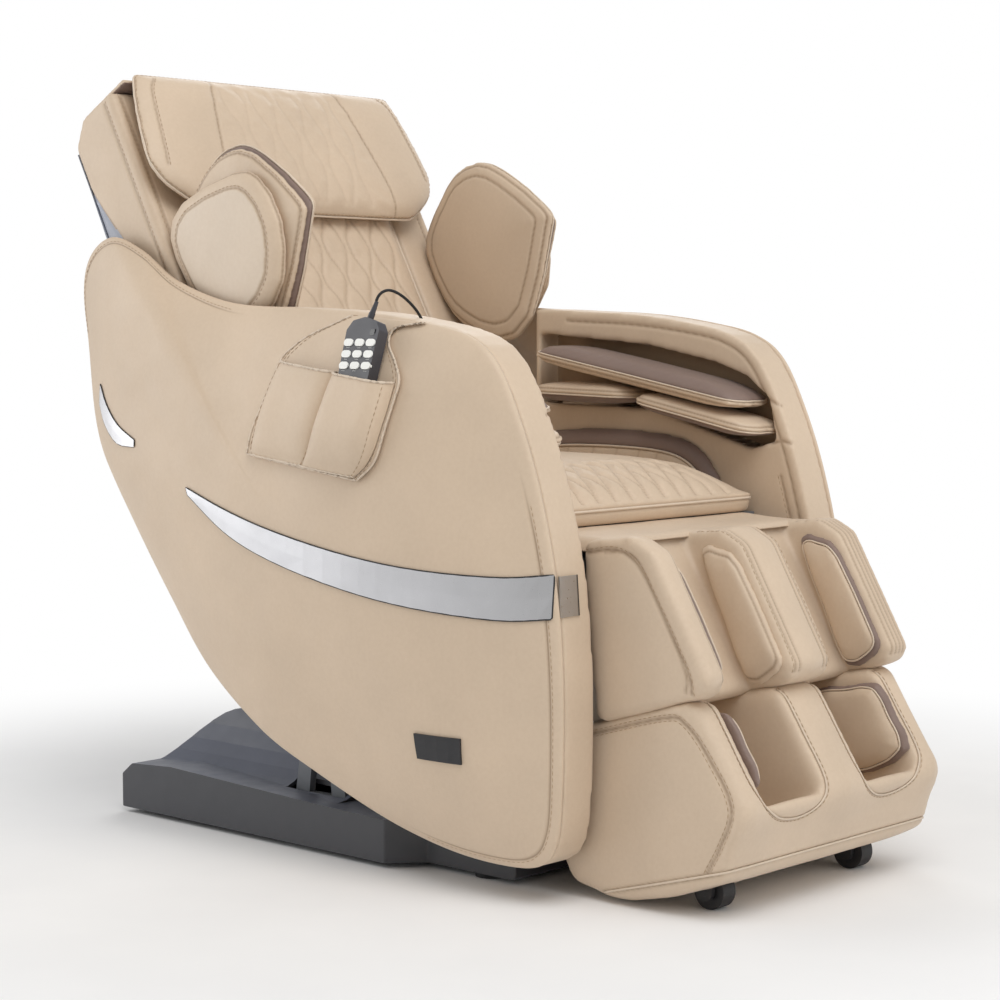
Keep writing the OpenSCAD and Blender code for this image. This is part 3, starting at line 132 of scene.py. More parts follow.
def set_coords(obj, co):
    obj.data.vertices.foreach_set("co", np.ascontiguousarray(co).ravel())
    obj.data.update()


def smooth_shade(obj):
    obj.data.polygons.foreach_set("use_smooth", np.ones(len(obj.data.polygons), bool))
    obj.data.update()


def apply_modifiers(obj):
    graph = bpy.context.evaluated_depsgraph_get()
    mesh = bpy.data.meshes.new_from_object(obj.evaluated_get(graph))
    obj.modifiers.clear()
    old, obj.data = obj.data, mesh
    bpy.data.meshes.remove(old)
    return obj


def outward(obj, merge=0.0):
    """Turns a closed mesh's faces outwards, after joining the points closer than merge."""
    bm = bmesh.new()
    bm.from_mesh(obj.data)
    if merge:
        bmesh.ops.remove_doubles(bm, verts=bm.verts, dist=merge)
    bmesh.ops.recalc_face_normals(bm, faces=bm.faces)
    bm.to_mesh(obj.data)
    bm.free()
    return obj


def slab(name, top, under, cols, merge=0.0):
    """Closed sheet between two grids of points, row by row in millimetres."""
    w, k0 = cols + 1, len(top)
    rows = k0 // w - 1
    faces = []
    for i in range(rows):
        for k in range(cols):
            p = i * w + k
            faces.append((p, p + w, p + w + 1, p + 1))
            faces.append((p + k0, p + 1 + k0, p + w + 1 + k0, p + w + k0))
    rim = ([k for k in range(cols)] + [i * w + cols for i in range(rows)]
           + [rows * w + cols - k for k in range(cols)] + [(rows - i) * w for i in range(rows)])
    for a, b in zip(rim, rim[1:] + rim[:1]):
        faces.append((a, b, b + k0, a + k0))
    return outward(from_arrays(name, np.array(top + under) * MM, faces), merge)


def solids(node):
    """The closed solids of a CAD node, each a bmesh, in order of their middle along X, Y, Z."""
    bm = bmesh.new()
    bm.from_mesh(NODES[node].data)
    bmesh.ops.remove_doubles(bm, verts=bm.verts, dist=SAME_POINT)
    bm.verts.ensure_lookup_table()
    seen, groups = set(), []
    for v in bm.verts:
        if v.index in seen:
            continue
        stack, group = [v], []
        seen.add(v.index)
        while stack:
            u = stack.pop()
            group.append(u)
            for e in u.link_edges:
                w = e.other_vert(u)
                if w.index not in seen:
                    seen.add(w.index)
                    stack.append(w)
        groups.append(group)
    out = []
    for group in groups:
        number = {v.index: i for i, v in enumerate(group)}
        faces = dict.fromkeys(f for v in group for f in v.link_faces)
        out.append((np.array([v.co[:] for v in group]),
                    [[number[v.index] for v in f.verts] for f in faces]))
    bm.free()
    out.sort(key=lambda s: tuple(round(x, 3) for x in s[0].mean(0)))
    return out


def skin_of(name, shape, voxel, relax):
    """One closed skin round a solid: voxel remesh, relaxed so that its edges turn softly."""
    obj = from_arrays(name, *shape)
    mod = obj.modifiers.new("skin", "REMESH")
    mod.mode, mod.voxel_size = "VOXEL", voxel
    mod = obj.modifiers.new("relax", "SMOOTH")
    mod.factor, mod.iterations = 0.5, relax
    return apply_modifiers(obj)


def sliced(shape, origin, normal):
    """The parts of a solid behind and before a plane, both closed."""
    out = []
    for sign in (1, -1):
        bm = bmesh.new()
        verts = [bm.verts.new(v) for v in shape[0]]
        for f in shape[1]:
            bm.faces.new([verts[i] for i in f])
        got = bmesh.ops.bisect_plane(bm, geom=bm.verts[:] + bm.edges[:] + bm.faces[:],
                                     plane_co=Vector(origin) * MM, plane_no=Vector(normal) * sign,
                                     dist=1e-7, clear_outer=True)
        rim = [e for e in got["geom_cut"] if isinstance(e, bmesh.types.BMEdge)]
        bmesh.ops.holes_fill(bm, edges=rim, sides=0)
        bmesh.ops.recalc_face_normals(bm, faces=bm.faces)
        bm.verts.index_update()
        out.append((np.array([v.co[:] for v in bm.verts]), [[v.index for v in f.verts] for f in bm.faces]))
        bm.free()
    return out


def tree_of(obj):
    bm = bmesh.new()
    bm.from_mesh(obj.data)
    tree = BVHTree.FromBMesh(bm)
    bm.free()
    return tree


def nearest(co, samples):
    """Distance from each vertex to the nearest sample."""
    best = np.full(len(co), 1e9)
    lo, hi = samples.min(0) - 0.05, samples.max(0) + 0.05
    near = np.where(((co > lo) & (co < hi)).all(1))[0]
    part = co[near]
    got = np.full(len(near), 1e9)
    for k in range(0, len(samples), 64):
        d = np.linalg.norm(part[:, None, :] - samples[None, k:k + 64], axis=2).min(1)
        got = np.minimum(got, d)
    best[near] = got
    return best


# ---- seams ----
def line(points, along, **how):
    """Seam drawn near the surface and projected on it along a direction; millimetres."""
    return dict(points=np.array(points, float) * MM, along=Vector(along).normalized(), **how)


def cut(origin, normal, keep=None, **how):
    """Seam where a plane cuts the surface; keep chooses its points."""
    return dict(origin=Vector(origin) * MM, normal=Vector(normal).normalized(), keep=keep, **how)


def sections(obj, origin, normal):
    """Lines where a plane cuts a mesh, the longest first; each turns left round the plane's normal."""
    bm = bmesh.new()
    bm.from_mesh(obj.data)
    got = bmesh.ops.bisect_plane(bm, geom=bm.verts[:] + bm.edges[:] + bm.faces[:],
                                 plane_co=origin, plane_no=normal, dist=1e-7)
    edges = [e for e in got["geom_cut"] if isinstance(e, bmesh.types.BMEdge)]
    left = set(edges)
    loops = []
    for e in edges:
        if e not in left:
            continue
        left.discard(e)
        chain, end = [e.verts[0], e.verts[1]], e.verts[1]
        while True:
            step = next((f for f in end.link_edges if f in left), None)
            if step is None:
                break
            left.discard(step)
            end = step.other_vert(end)
            chain.append(end)
        if len(chain) > 8:
            loop = np.array([v.co[:] for v in chain])
            spoke = loop - loop.mean(0)
            turn = np.cross(spoke, np.roll(spoke, -1, 0)).sum(0) @ np.array(normal[:])
            loops.append(loop if turn > 0 else loop[::-1])
    bm.free()
    loops.sort(key=len, reverse=True)
    return loops


def traced(obj, tree, seam):
    """Where a seam runs on an object: (points, normals, closed) for each of its lines."""
    out = []
    if "points" in seam:
        closed, along = seam.get("closed", False), seam["along"]
        hits = [tree.ray_cast(Vector(p) - along * RAY_REACH, along, 2 * RAY_REACH)
                for p in spaced(seam["points"], SEAM_STEP, closed)]
        hits = [h for h in hits if h[0] is not None]
        if len(hits) > 3:
            out.append((np.array([h[0][:] for h in hits]), np.array([h[1][:] for h in hits]), closed))
    else:
        for loop in sections(obj, seam["origin"], seam["normal"])[:seam.get("loops", 4)]:
            pts = spaced(loop[:-1], SEAM_STEP, True)
            whole = True
            if seam["keep"] is not None:
                ok = np.array([bool(seam["keep"](*(p / MM))) for p in pts])
                if not ok.any():
                    continue
                if not ok.all():
                    start = next(i for i in range(len(ok)) if ok[i] and not ok[i - 1])
                    pts, ok = np.roll(pts, -start, 0), np.roll(ok, -start)
                    pts, whole = pts[:int(np.argmin(ok))] if not ok.all() else pts, False
            if len(pts) < 5:
                continue
            nor = np.array([tree.find_nearest(Vector(p))[1][:] for p in pts])
            out.append((pts, nor, whole))
    return out


def even(pts, closed):
    """Takes the tremble out of a line."""
    for _ in range(3):
        mid = (np.roll(pts, 1, 0) + 2 * pts + np.roll(pts, -1, 0)) / 4
        if not closed:
            mid[0], mid[-1] = pts[0], pts[-1]
        pts = mid
    return pts


class Strands:
    """Sewing thread or piping of one body, gathered into one mesh."""

    both = False        # while True, the other side of the chair gets the same

    def __init__(self):
        self.verts, self.faces = [], []

    def add(self, rings, closed):
        if Strands.both:
            Strands.both = False
            self.add([[(-x, y, z) for x, y, z in reversed(r)] for r in rings], closed)
            Strands.both = True
        base = len(self.verts)
        n, m = len(rings[0]), len(rings)
        for r in rings:
            self.verts.extend(r)
        for i in range(m if closed else m - 1):
            for k in range(n):
                a, b = base + i * n, base + (i + 1) % m * n
                self.faces.append((a + k, a + (k + 1) % n, b + (k + 1) % n, b + k))
        if not closed:
            self.faces.append(tuple(base + k for k in reversed(range(n))))
            self.faces.append(tuple(base + (m - 1) * n + k for k in range(n)))

    def tube(self, pts, nor, radius, closed, sides=8, flat=1.0):
        tan = tangents(pts, closed)
        side = np.cross(tan, nor)
        side /= np.maximum(np.linalg.norm(side, axis=1, keepdims=True), 1e-9)
        up = np.cross(side, tan)
        turn = [2 * math.pi * k / sides for k in range(sides)]
        r = np.full(len(pts), radius)
        if not closed:
            r[0], r[-1] = radius * 0.5, radius * 0.5
        self.add([[tuple(pts[i] + r[i] * (math.cos(a) * side[i] + flat * math.sin(a) * up[i])) for a in turn]
                  for i in range(len(pts))], closed)

    def stitch(self, p, t, n, length, width):
        b = np.cross(t, n)
        rings = []
        for along, size in ((-0.5, 0.35), (0, 1.0), (0.5, 0.35)):
            c = p + t * along * length - n * width * 0.2 * (1 - size)
            rings.append([tuple(c + size * width / 2 * q) for q in (b, n * 0.9, -b, -n * 0.9)])
        self.add(rings, False)


def tangents(pts, closed):
    if closed:
        t = np.roll(pts, -1, 0) - np.roll(pts, 1, 0)
    else:
        t = np.gradient(pts, axis=0)
    return t / np.maximum(np.linalg.norm(t, axis=1, keepdims=True), 1e-9)


THREAD, PIPING, BINDING = {}, {}, {}


def stitch_row(body, tree, pts, nor, closed, offset):
    """Row of stitches beside a seam."""
    tan = tangents(pts, closed)
    row = pts + np.cross(tan, nor) * offset
    row = even(row, closed)
    row = spaced(row, STITCH_PITCH, closed)
    tan = tangents(row, closed)
    thread = THREAD.setdefault(body, Strands())
    for p, t in zip(row, tan):
        hit = tree.find_nearest(Vector(p))
        if hit[0] is None:
            continue
        n = np.array(hit[1][:])
        t = t - n * t.dot(n)
        t /= max(np.linalg.norm(t), 1e-9)
        thread.stitch(np.array(hit[0][:]) + n * 0.0003, t, n, STITCH_LENGTH, STITCH_WIDTH)


def stitch_along(tree, pts, offset=0.0):
    """Row of stitches on the seat's leather, offset millimetres beside the points."""
    stitch_row("seat", tree, pts, near_normals(tree, pts), False, offset * MM)


# Painted shade along the seams, kept in the "seam" attribute that the leather reads; the stronger value wins.
def set_seam_shade(obj, value):
    old = obj.data.attributes.get("seam")
    if old is None:
        old = obj.data.attributes.new("seam", "FLOAT", "POINT")
        before = np.zeros(len(value))
    else:
        before = np.empty(len(value))
        old.data.foreach_get("value", before)
    old.data.foreach_set("value", np.maximum(before, value).astype(float))


def pinned_by(obj, seams):
    """Distance from each vertex to the nearest seam that holds the leather down."""
    tree = tree_of(obj)
    found = [t[0] for s in seams if s.get("pull", True) for t in traced(obj, tree, s)]
    if not found:
        return None
    return nearest(coords(obj), np.vstack(found))


def sew(obj, body, seams):
    """Presses each seam into the surface and paints shade along its groove, then lays its stitches and its
    piping.
    """
    tree = tree_of(obj)
    found = [(s, t) for s in seams for t in traced(obj, tree, s)]
    co, no = coords(obj), normals(obj)
    move = np.zeros(len(co))
    shade = np.zeros(len(co))
    for s, (pts, _, _) in found:
        d = nearest(co, pts)
        depth, width = s.get("depth", 1.6) * MM, s.get("width", 3.2) * MM
        move = np.maximum(move, depth * np.exp(-(d / width) ** 2))
        shade = np.maximum(shade, s.get("shade", 1.0) * np.exp(-(d / SEAM_SHADE_WIDTH) ** 2))
    set_coords(obj, co - no * move[:, None])
    if found:
        set_seam_shade(obj, shade)
    tree = tree_of(obj)
    for s, (pts, nor, closed) in found:
        pts = even(pts, closed)
        for offset in s.get("rows", ()):
            stitch_row(body, tree, pts, nor, closed, offset * MM)
        if s.get("pipe"):
            r = s["pipe"] * MM
            pts = spaced(pts, 0.005, closed)
            PIPING.setdefault(body, Strands()).tube(pts, near_normals(tree, pts), r, closed)
    return obj


def near_normals(tree, pts):
    return np.array([tree.find_nearest(Vector(p))[1][:] for p in pts])


# ---- padding ----
def plump(obj, seams, cap, hold=None, reach=0.02, cloth=True):
    """Swells a skin between its seams by up to cap millimetres: a cloth simulation, or a plain swell.

    hold gives each point's freedom from 0 to 1; reach is how far from a seam a plain swell is full.
    """
    cap *= MM
    rest = coords(obj)
    d = pinned_by(obj, seams)
    if d is None:
        d = np.full(len(rest), 1.0)
    free = np.ones(len(rest)) if hold is None else np.array(hold(rest / MM), float)
    if not cloth:
        set_coords(obj, rest + normals(obj) * (0.5 * cap * free * (1 - np.exp(-d / reach)))[:, None])
        return obj
    group = obj.vertex_groups.new(name="held")
    held = np.where((d < SEAM_HOLD) | (free < 0.5))[0]
    if len(held):
        group.add([int(i) for i in held], 1.0, "REPLACE")
    mod = obj.modifiers.new("cloth", "CLOTH")
    s = mod.settings
    s.quality = 3
    s.use_pressure = True
    s.uniform_pressure_force = CLOTH_PRESSURE
    s.tension_stiffness = s.compression_stiffness = 12
    s.bending_stiffness = 1.5
    s.effector_weights.gravity = 0
    if len(held):
        s.vertex_group_mass = "held"
    mod.point_cache.frame_start, mod.point_cache.frame_end = 1, CLOTH_FRAMES
    scene = bpy.context.scene
    for k in range(1, CLOTH_FRAMES + 1):
        scene.frame_set(k)
    graph = bpy.context.evaluated_depsgraph_get()
    new = coords(obj.evaluated_get(graph))
    obj.modifiers.clear()
    obj.vertex_groups.clear()
    scene.frame_set(1)
    step = new - rest
    size = np.linalg.norm(step, axis=1, keepdims=True)
    set_coords(obj, rest + step * np.minimum(1, cap * free[:, None] / np.maximum(size, 1e-9)))
    return obj


def refined(obj):
    mod = obj.modifiers.new("fine", "SUBSURF")
    mod.levels = mod.render_levels = 1
    mod = obj.modifiers.new("relax", "SMOOTH")
    mod.factor, mod.iterations = 0.5, 1
    return apply_modifiers(obj)


def upholster(obj, body, seams, cap, loose=(), both=False, **how):
    """Swells a skin between its seams and sews them, with the loose ones that don't hold it down.

    With both, the twin on the other side gets the same thread and piping.
    """
    plump(obj, seams, cap, **how)
    refined(obj)
    Strands.both = both
    sew(obj, body, [*seams, *loose])
    Strands.both = False


# ---- materials ----
def linear(r, g, b):
    """sRGB 0..255 to a linear colour."""
    def f(c):
        c /= 255
        return c / 12.92 if c <= 0.04045 else ((c + 0.055) / 1.055) ** 2.4
    return (f(r), f(g), f(b), 1)


class Nodes:
    """A node tree that nodes are added to with their inputs."""

    def __init__(self, owner):
        owner.use_nodes = True
        self.tree = owner.node_tree

    def add(self, kind, inputs=None, **settings):
        n = self.tree.nodes.new(kind)
        for key, value in settings.items():
            setattr(n, key, value)
        for key, value in (inputs or {}).items():
            if isinstance(value, bpy.types.NodeSocket):
                self.tree.links.new(value, n.inputs[key])
            else:
                n.inputs[key].default_value = value
        return n


class Mat(Nodes):
    """A procedural material on one Principled shader."""

    def __init__(self, name, **sockets):
        self.mat = bpy.data.materials.new(name)
        super().__init__(self.mat)
        self.shader = self.tree.nodes["Principled BSDF"]
        for key, value in sockets.items():
            self.shader.inputs[key.replace("_", " ")].default_value = value
        self.place = self.add("ShaderNodeTexCoord").outputs["Object"]

    def to(self, socket, value):
        self.tree.links.new(value, self.shader.inputs[socket])

    def noise(self, scale, detail=3.0, stretch=None):
        at = self.place
        if stretch:
            at = self.add("ShaderNodeMapping", {"Vector": at, "Scale": stretch}).outputs[0]
        return self.add("ShaderNodeTexNoise", {"Vector": at, "Scale": scale, "Detail": detail}).outputs[0]

    def span(self, value, low, high):
        return self.add("ShaderNodeMapRange", {"Value": value, "From Min": 0.3, "From Max": 0.7,
                                               "To Min": low, "To Max": high}).outputs[0]

    def mixed(self, factor, a, b, blend="MIX"):
        return self.add("ShaderNodeMix", {0: factor, 6: a, 7: b}, data_type="RGBA",
                        blend_type=blend).outputs[2]

    def bump(self, height, strength, distance, under=None):
        inputs = {"Height": height, "Strength": strength, "Distance": distance}
        if under is not None:
            inputs["Normal"] = under
        return self.add("ShaderNodeBump", inputs).outputs[0]


def shade_of(colour, k):
    return (colour[0] * k, colour[1] * k, colour[2] * k, 1)


def leather(name, colour, rough=0.46):
    m = Mat(name, Sheen_Weight=0.12, Sheen_Roughness=0.5, Specular_IOR_Level=0.42)
    broad = m.span(m.noise(7.0, 3.0), 0.0, 1.0)
    base = m.mixed(broad, shade_of(colour, 0.955), shade_of(colour, 1.04))
    mottle = m.span(m.noise(180.0, 2.0), 0.0, 1.0)
    base = m.mixed(mottle, base, m.mixed(1.0, base, (0.97, 0.96, 0.95, 1), "MULTIPLY"))
    # painted shade in the seams' grooves: the "seam" attribute mixes in a darker, multiplied colour
    seam = m.add("ShaderNodeAttribute", attribute_name="seam").outputs["Fac"]
    dark = m.mixed(1.0, base, (0.47, 0.40, 0.34, 1), "MULTIPLY")
    m.to("Base Color", m.mixed(seam, base, dark))
    m.to("Roughness", m.span(m.noise(26.0, 4.0), rough - 0.05, rough + 0.07))
    cells = m.add("ShaderNodeTexVoronoi", {"Vector": m.place, "Scale": 620.0},
                  feature="DISTANCE_TO_EDGE").outputs[0]
    creases = m.bump(m.noise(55.0, 4.0), 0.10, 0.002)
    m.to("Normal", m.bump(cells, 0.30, 0.0004, creases))
    return m.mat


def plastic(name, colour, rough=0.5, scale=900.0, depth=0.12, coat=0.0):
    m = Mat(name, Specular_IOR_Level=0.5, Coat_Weight=coat, Coat_Roughness=0.25)
    m.to("Base Color", m.mixed(m.span(m.noise(9.0), 0, 1), shade_of(colour, 0.93), shade_of(colour, 1.05)))
    m.to("Roughness", m.span(m.noise(38.0, 4.0), rough - 0.06, rough + 0.08))
    m.to("Normal", m.bump(m.noise(scale, 2.0), depth, 0.0003))
    return m.mat


def metal(name, colour, rough=0.3, stretch=(1, 1, 1), depth=0.06):
    m = Mat(name, Metallic=1.0)
    m.to("Base Color", m.mixed(m.span(m.noise(14.0), 0, 1), shade_of(colour, 0.9), shade_of(colour, 1.03)))
    streaks = m.noise(240.0, 3.0, stretch)
    m.to("Roughness", m.span(streaks, rough - 0.05, rough + 0.09))
    m.to("Normal", m.bump(streaks, depth, 0.0002))
    return m.mat


BEIGE = linear(213, 192, 168)
M = {
    "beige": leather("leather_beige", BEIGE),
    # a lighter copy of the beige leather: painted highlight on rounded piping and on faces that catch the
    # light
    "pale": leather("leather_beige_lit", linear(219, 202, 182)),
    "taupe": leather("leather_taupe", linear(133, 113, 104), 0.5),
    # a darker copy of the beige leather: painted shade for walls deep in a recess
    "inner": leather("leather_painted_shade", linear(176, 150, 122), 0.5),
    "thread": plastic("thread", linear(178, 150, 120), 0.7, 2500.0, 0.3),
    "base": plastic("plastic_base", linear(92, 97, 112), 0.42, 1100.0, 0.10, 0.15),
    "hump": plastic("plastic_hump", linear(104, 110, 126), 0.38, 1100.0, 0.08, 0.2),
    "shell": plastic("plastic_shell", linear(148, 154, 168), 0.34, 1200.0, 0.06, 0.25),
    "black": plastic("plastic_black", linear(38, 38, 41), 0.48),
    "rubber": plastic("rubber_black", linear(30, 30, 32), 0.72, 500.0, 0.25),
    "remote": plastic("plastic_remote", linear(62, 62, 68), 0.36, 1500.0, 0.08, 0.2),
    "key": plastic("plastic_key", linear(236, 236, 232), 0.32, 1500.0, 0.04, 0.3),
    "glass": plastic("window_dark", linear(14, 14, 17), 0.12, 1500.0, 0.01, 0.6),
    "silver": metal("silver_satin", linear(207, 207, 210), 0.32, (1, 12, 1)),
    "steel": plastic("steel_powder", linear(112, 116, 122), 0.5, 700.0, 0.2),
    "bright": metal("steel_bright", linear(205, 207, 210), 0.24, (1, 1, 14)),
    "cast": metal("cast_aluminium", linear(190, 192, 195), 0.46, (1, 1, 1), 0.2),
}


def paint_shade_along(material, socket_of, low, high, axis, dark):
    """Paints shade into a material along an axis, from low (the painted shade colour) to high (as it is); X
    and normals count both ways.
    """
    m = Nodes(material)
    place = m.tree.nodes["Texture Coordinate"].outputs[socket_of]
    base = m.tree.nodes["Principled BSDF"].inputs["Base Color"]
    value = m.add("ShaderNodeSeparateXYZ", {0: place}).outputs[axis]
    if socket_of == "Normal" or axis == "X":
        value = m.add("ShaderNodeMath", {0: value}, operation="ABSOLUTE").outputs[0]
    span = m.add("ShaderNodeMapRange", {"Value": value, "From Min": low, "From Max": high},
                 interpolation_type="SMOOTHSTEP").outputs[0]
    mix = m.add("ShaderNodeMix", {0: span, 6: dark, 7: base.links[0].from_socket}, data_type="RGBA")
    m.tree.links.new(mix.outputs[2], base)


# painted shade: the silver trim a little darker towards its front end, where it curves inwards
paint_shade_along(M["silver"], "Object", -0.40, -0.22, "Y", linear(196, 196, 198))
# painted shade: the part of the silver trim nearest the chair's middle, where it wraps in at the front,
# nearly black
paint_shade_along(M["silver"], "Object", 0.2785, 0.2825, "X", linear(70, 70, 72))
# painted shade: the base's steep sides darker than its level faces
paint_shade_along(M["base"], "Normal", 0.35, 0.75, "Z", linear(58, 59, 64))


def wear(obj, *names):
    obj.data.materials.clear()
    for name in names:
        obj.data.materials.append(M[name])
    return obj


def tint(obj, choose):
    """Material number of each face from its middle (millimetres) and its normal."""
    me = obj.data
    n = len(me.polygons)
    c, k = np.empty(n * 3), np.empty(n * 3)
    me.polygons.foreach_get("center", c)
    me.polygons.foreach_get("normal", k)
    c, k = c.reshape(-1, 3) / MM, k.reshape(-1, 3)
    me.polygons.foreach_set("material_index", np.asarray(choose(c, k)).astype(np.int32))
    me.update()


def placed(obj, body, slot, *nodes):
    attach(obj, body)
    if nodes:
        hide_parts(*nodes)
    return obj


def finish_piece(obj, body, slot, *nodes, fill=None):
    smooth_shade(obj)
    placed(obj, body, slot, *nodes)
    return obj


def mirrored(obj, name):
    """The piece on the other side."""
    twin = link(name, obj.data.copy())
    co = coords(twin)
    co[:, 0] *= -1
    twin.data.flip_normals()
    set_coords(twin, co)
    return twin


def finish_pair(obj, body, slot, node, fill):
    """Finishes a piece of the right side and its mirrored twin on the left."""
    finish_piece(obj, body, slot, node, fill=fill)
    twin = mirrored(obj, obj.name.replace("_right", "_left"))
    finish_piece(twin, body, slot, node.replace("_right", "_left"), fill=fill)


# ---- frames of the back and the leg rest ----
class Leaning:
    """Frame of a leaning part: x across, n towards its rear, s up along it; millimetres."""

    def __init__(self, y, z, degrees):
        self.y, self.z = y, z
        a = math.radians(degrees)
        self.c, self.s = math.cos(a), math.sin(a)
        self.n = (0, self.c, -self.s)       # towards its rear
        self.up = (0, self.s, self.c)

    def at(self, x, n, s):
        return (x, self.y + n * self.c + s * self.s, self.z - n * self.s + s * self.c)

    def back_from(self, co):
        """Millimetres in the chair to (x, n, s)."""
        y, z = co[:, 1] - self.y, co[:, 2] - self.z
        return np.stack([co[:, 0], y * self.c - z * self.s, y * self.s + z * self.c], 1)

    def front(self, n, points, **how):
        """Seam on its front through points (x, s), drawn from a depth n."""
        return line([self.at(x, n, h) for x, h in points], self.n, **how)

    def flank(self, side, x, points, **how):
        """Seam on one side's flank through points (n, s), drawn from a width x."""
        return line([self.at(side * x, n, h) for n, h in points], (-side, 0, 0), **how)


BACK = Leaning(227, 466, 29)
LEG = Leaning(-345, 440, 16)

# ---- cord ----
CORD_ROUTE = [(-350.2, -104, 787.8), (-348.3, -105.2, 793.2), (-344.8, -106.8, 797.8), (-340, -108.6, 801),
              (-334, -110.5, 802.4), (-327, -112.4, 801.4), (-319.5, -114.4, 798.4), (-312, -116.4, 794),
              (-304.5, -118.2, 788.4), (-297.5, -119.8, 782.2), (-291, -121, 775.6), (-285.5, -121.8, 768.8),
              (-282, -122, 763.2), (-281, -122, 757.2)]
CORD_D = 4


def make_cord():
    pts = smooth(CORD_ROUTE, 3) * MM
    data = bpy.data.curves.new("remote_cord_curve", "CURVE")
    data.dimensions = "3D"
    spline = data.splines.new("POLY")
    spline.points.add(len(pts) - 1)
    for q, p in zip(spline.points, pts):
        q.co = (*p, 1)
    data.bevel_depth = CORD_D * MM / 2
    data.bevel_resolution = 4
    data.use_fill_caps = True
    obj = link("handset_cord", data)
    data.materials.append(M["rubber"])
    placed(obj, "seat", "black_rubber", "remote_cord")


make_cord()


# ---- side panels ----
ARM_OUT, SEAM, BULGE, FLARE, WALL = 312, 6, 88, 26, 5
PANEL_0, PANEL_SIZE = np.array([-407.0, 47.0]), np.array([982.0, 843.0])
SHARES = [(1, 0.89), (0.985, 0.965), (0.93, 1.0), (0.857, 0.974), (0.775, 0.92), (0.65, 0.88), (0.5, 0.87),
          (0.36, 0.862), (0.25, 0.846), (0.17, 0.825), (0.117, 0.783), (0.075, 0.694), (0.04, 0.585),
          (0.012, 0.45), (0, 0.3), (0.001, 0.14), (0.01, 0.05), (0.04, 0.01), (0.11, 0), (0.21, 0.008),
          (0.32, 0.037), (0.457, 0.102), (0.565, 0.16), (0.675, 0.25), (0.76, 0.363), (0.85, 0.495),
          (0.925, 0.62), (0.975, 0.76)]


def pn(u, v):
    return PANEL_0 + np.array([u, v]) * PANEL_SIZE


EDGE_STEPS = 12
EDGE = smooth(SHARES, EDGE_STEPS, closed=True) * PANEL_SIZE + PANEL_0
EDGE_CAD = smooth(SHARES, 2, closed=True) * PANEL_SIZE + PANEL_0
CENTRE = pn(0.45, 0.5)
OUT = EDGE - CENTRE
FAR = np.linalg.norm(OUT, axis=1)


def ramp(a, b, x):
    t = np.clip((x - a) / (b - a), 0, 1)
    return t * t * (3 - 2 * t)


def flare(p):
    u, v = ((np.asarray(p) - PANEL_0) / PANEL_SIZE).T
    return FLARE * ramp(0.25, 0.55, u) * ramp(0.85, 0.6, v)


def swell(p, s):
    e = SEAM + flare(p)
    return e + (BULGE - e) * np.maximum(0, 1 - np.asarray(s) ** 2) ** 0.8


def panel_x(y, z):
    """Outer surface of a panel, in millimetres from the chair's middle."""
    d = np.array([y, z]) - CENTRE
    a, e = EDGE_CAD - CENTRE, np.roll(EDGE_CAD, -1, 0) - EDGE_CAD
    den = d[0] * e[:, 1] - d[1] * e[:, 0]
    den = np.where(abs(den) < 1e-9, 1e-9, den)
    t = (a[:, 0] * e[:, 1] - a[:, 1] * e[:, 0]) / den
    w = (a[:, 0] * d[1] - a[:, 1] * d[0]) / den
    t = t[(t > 0) & (w >= 0) & (w < 1)][0]
    return ARM_OUT + float(swell(CENTRE + d * t, min(1 / t, 1)))


PANEL_SEAM_IN = 15        # the edge seam runs this far inside the outline


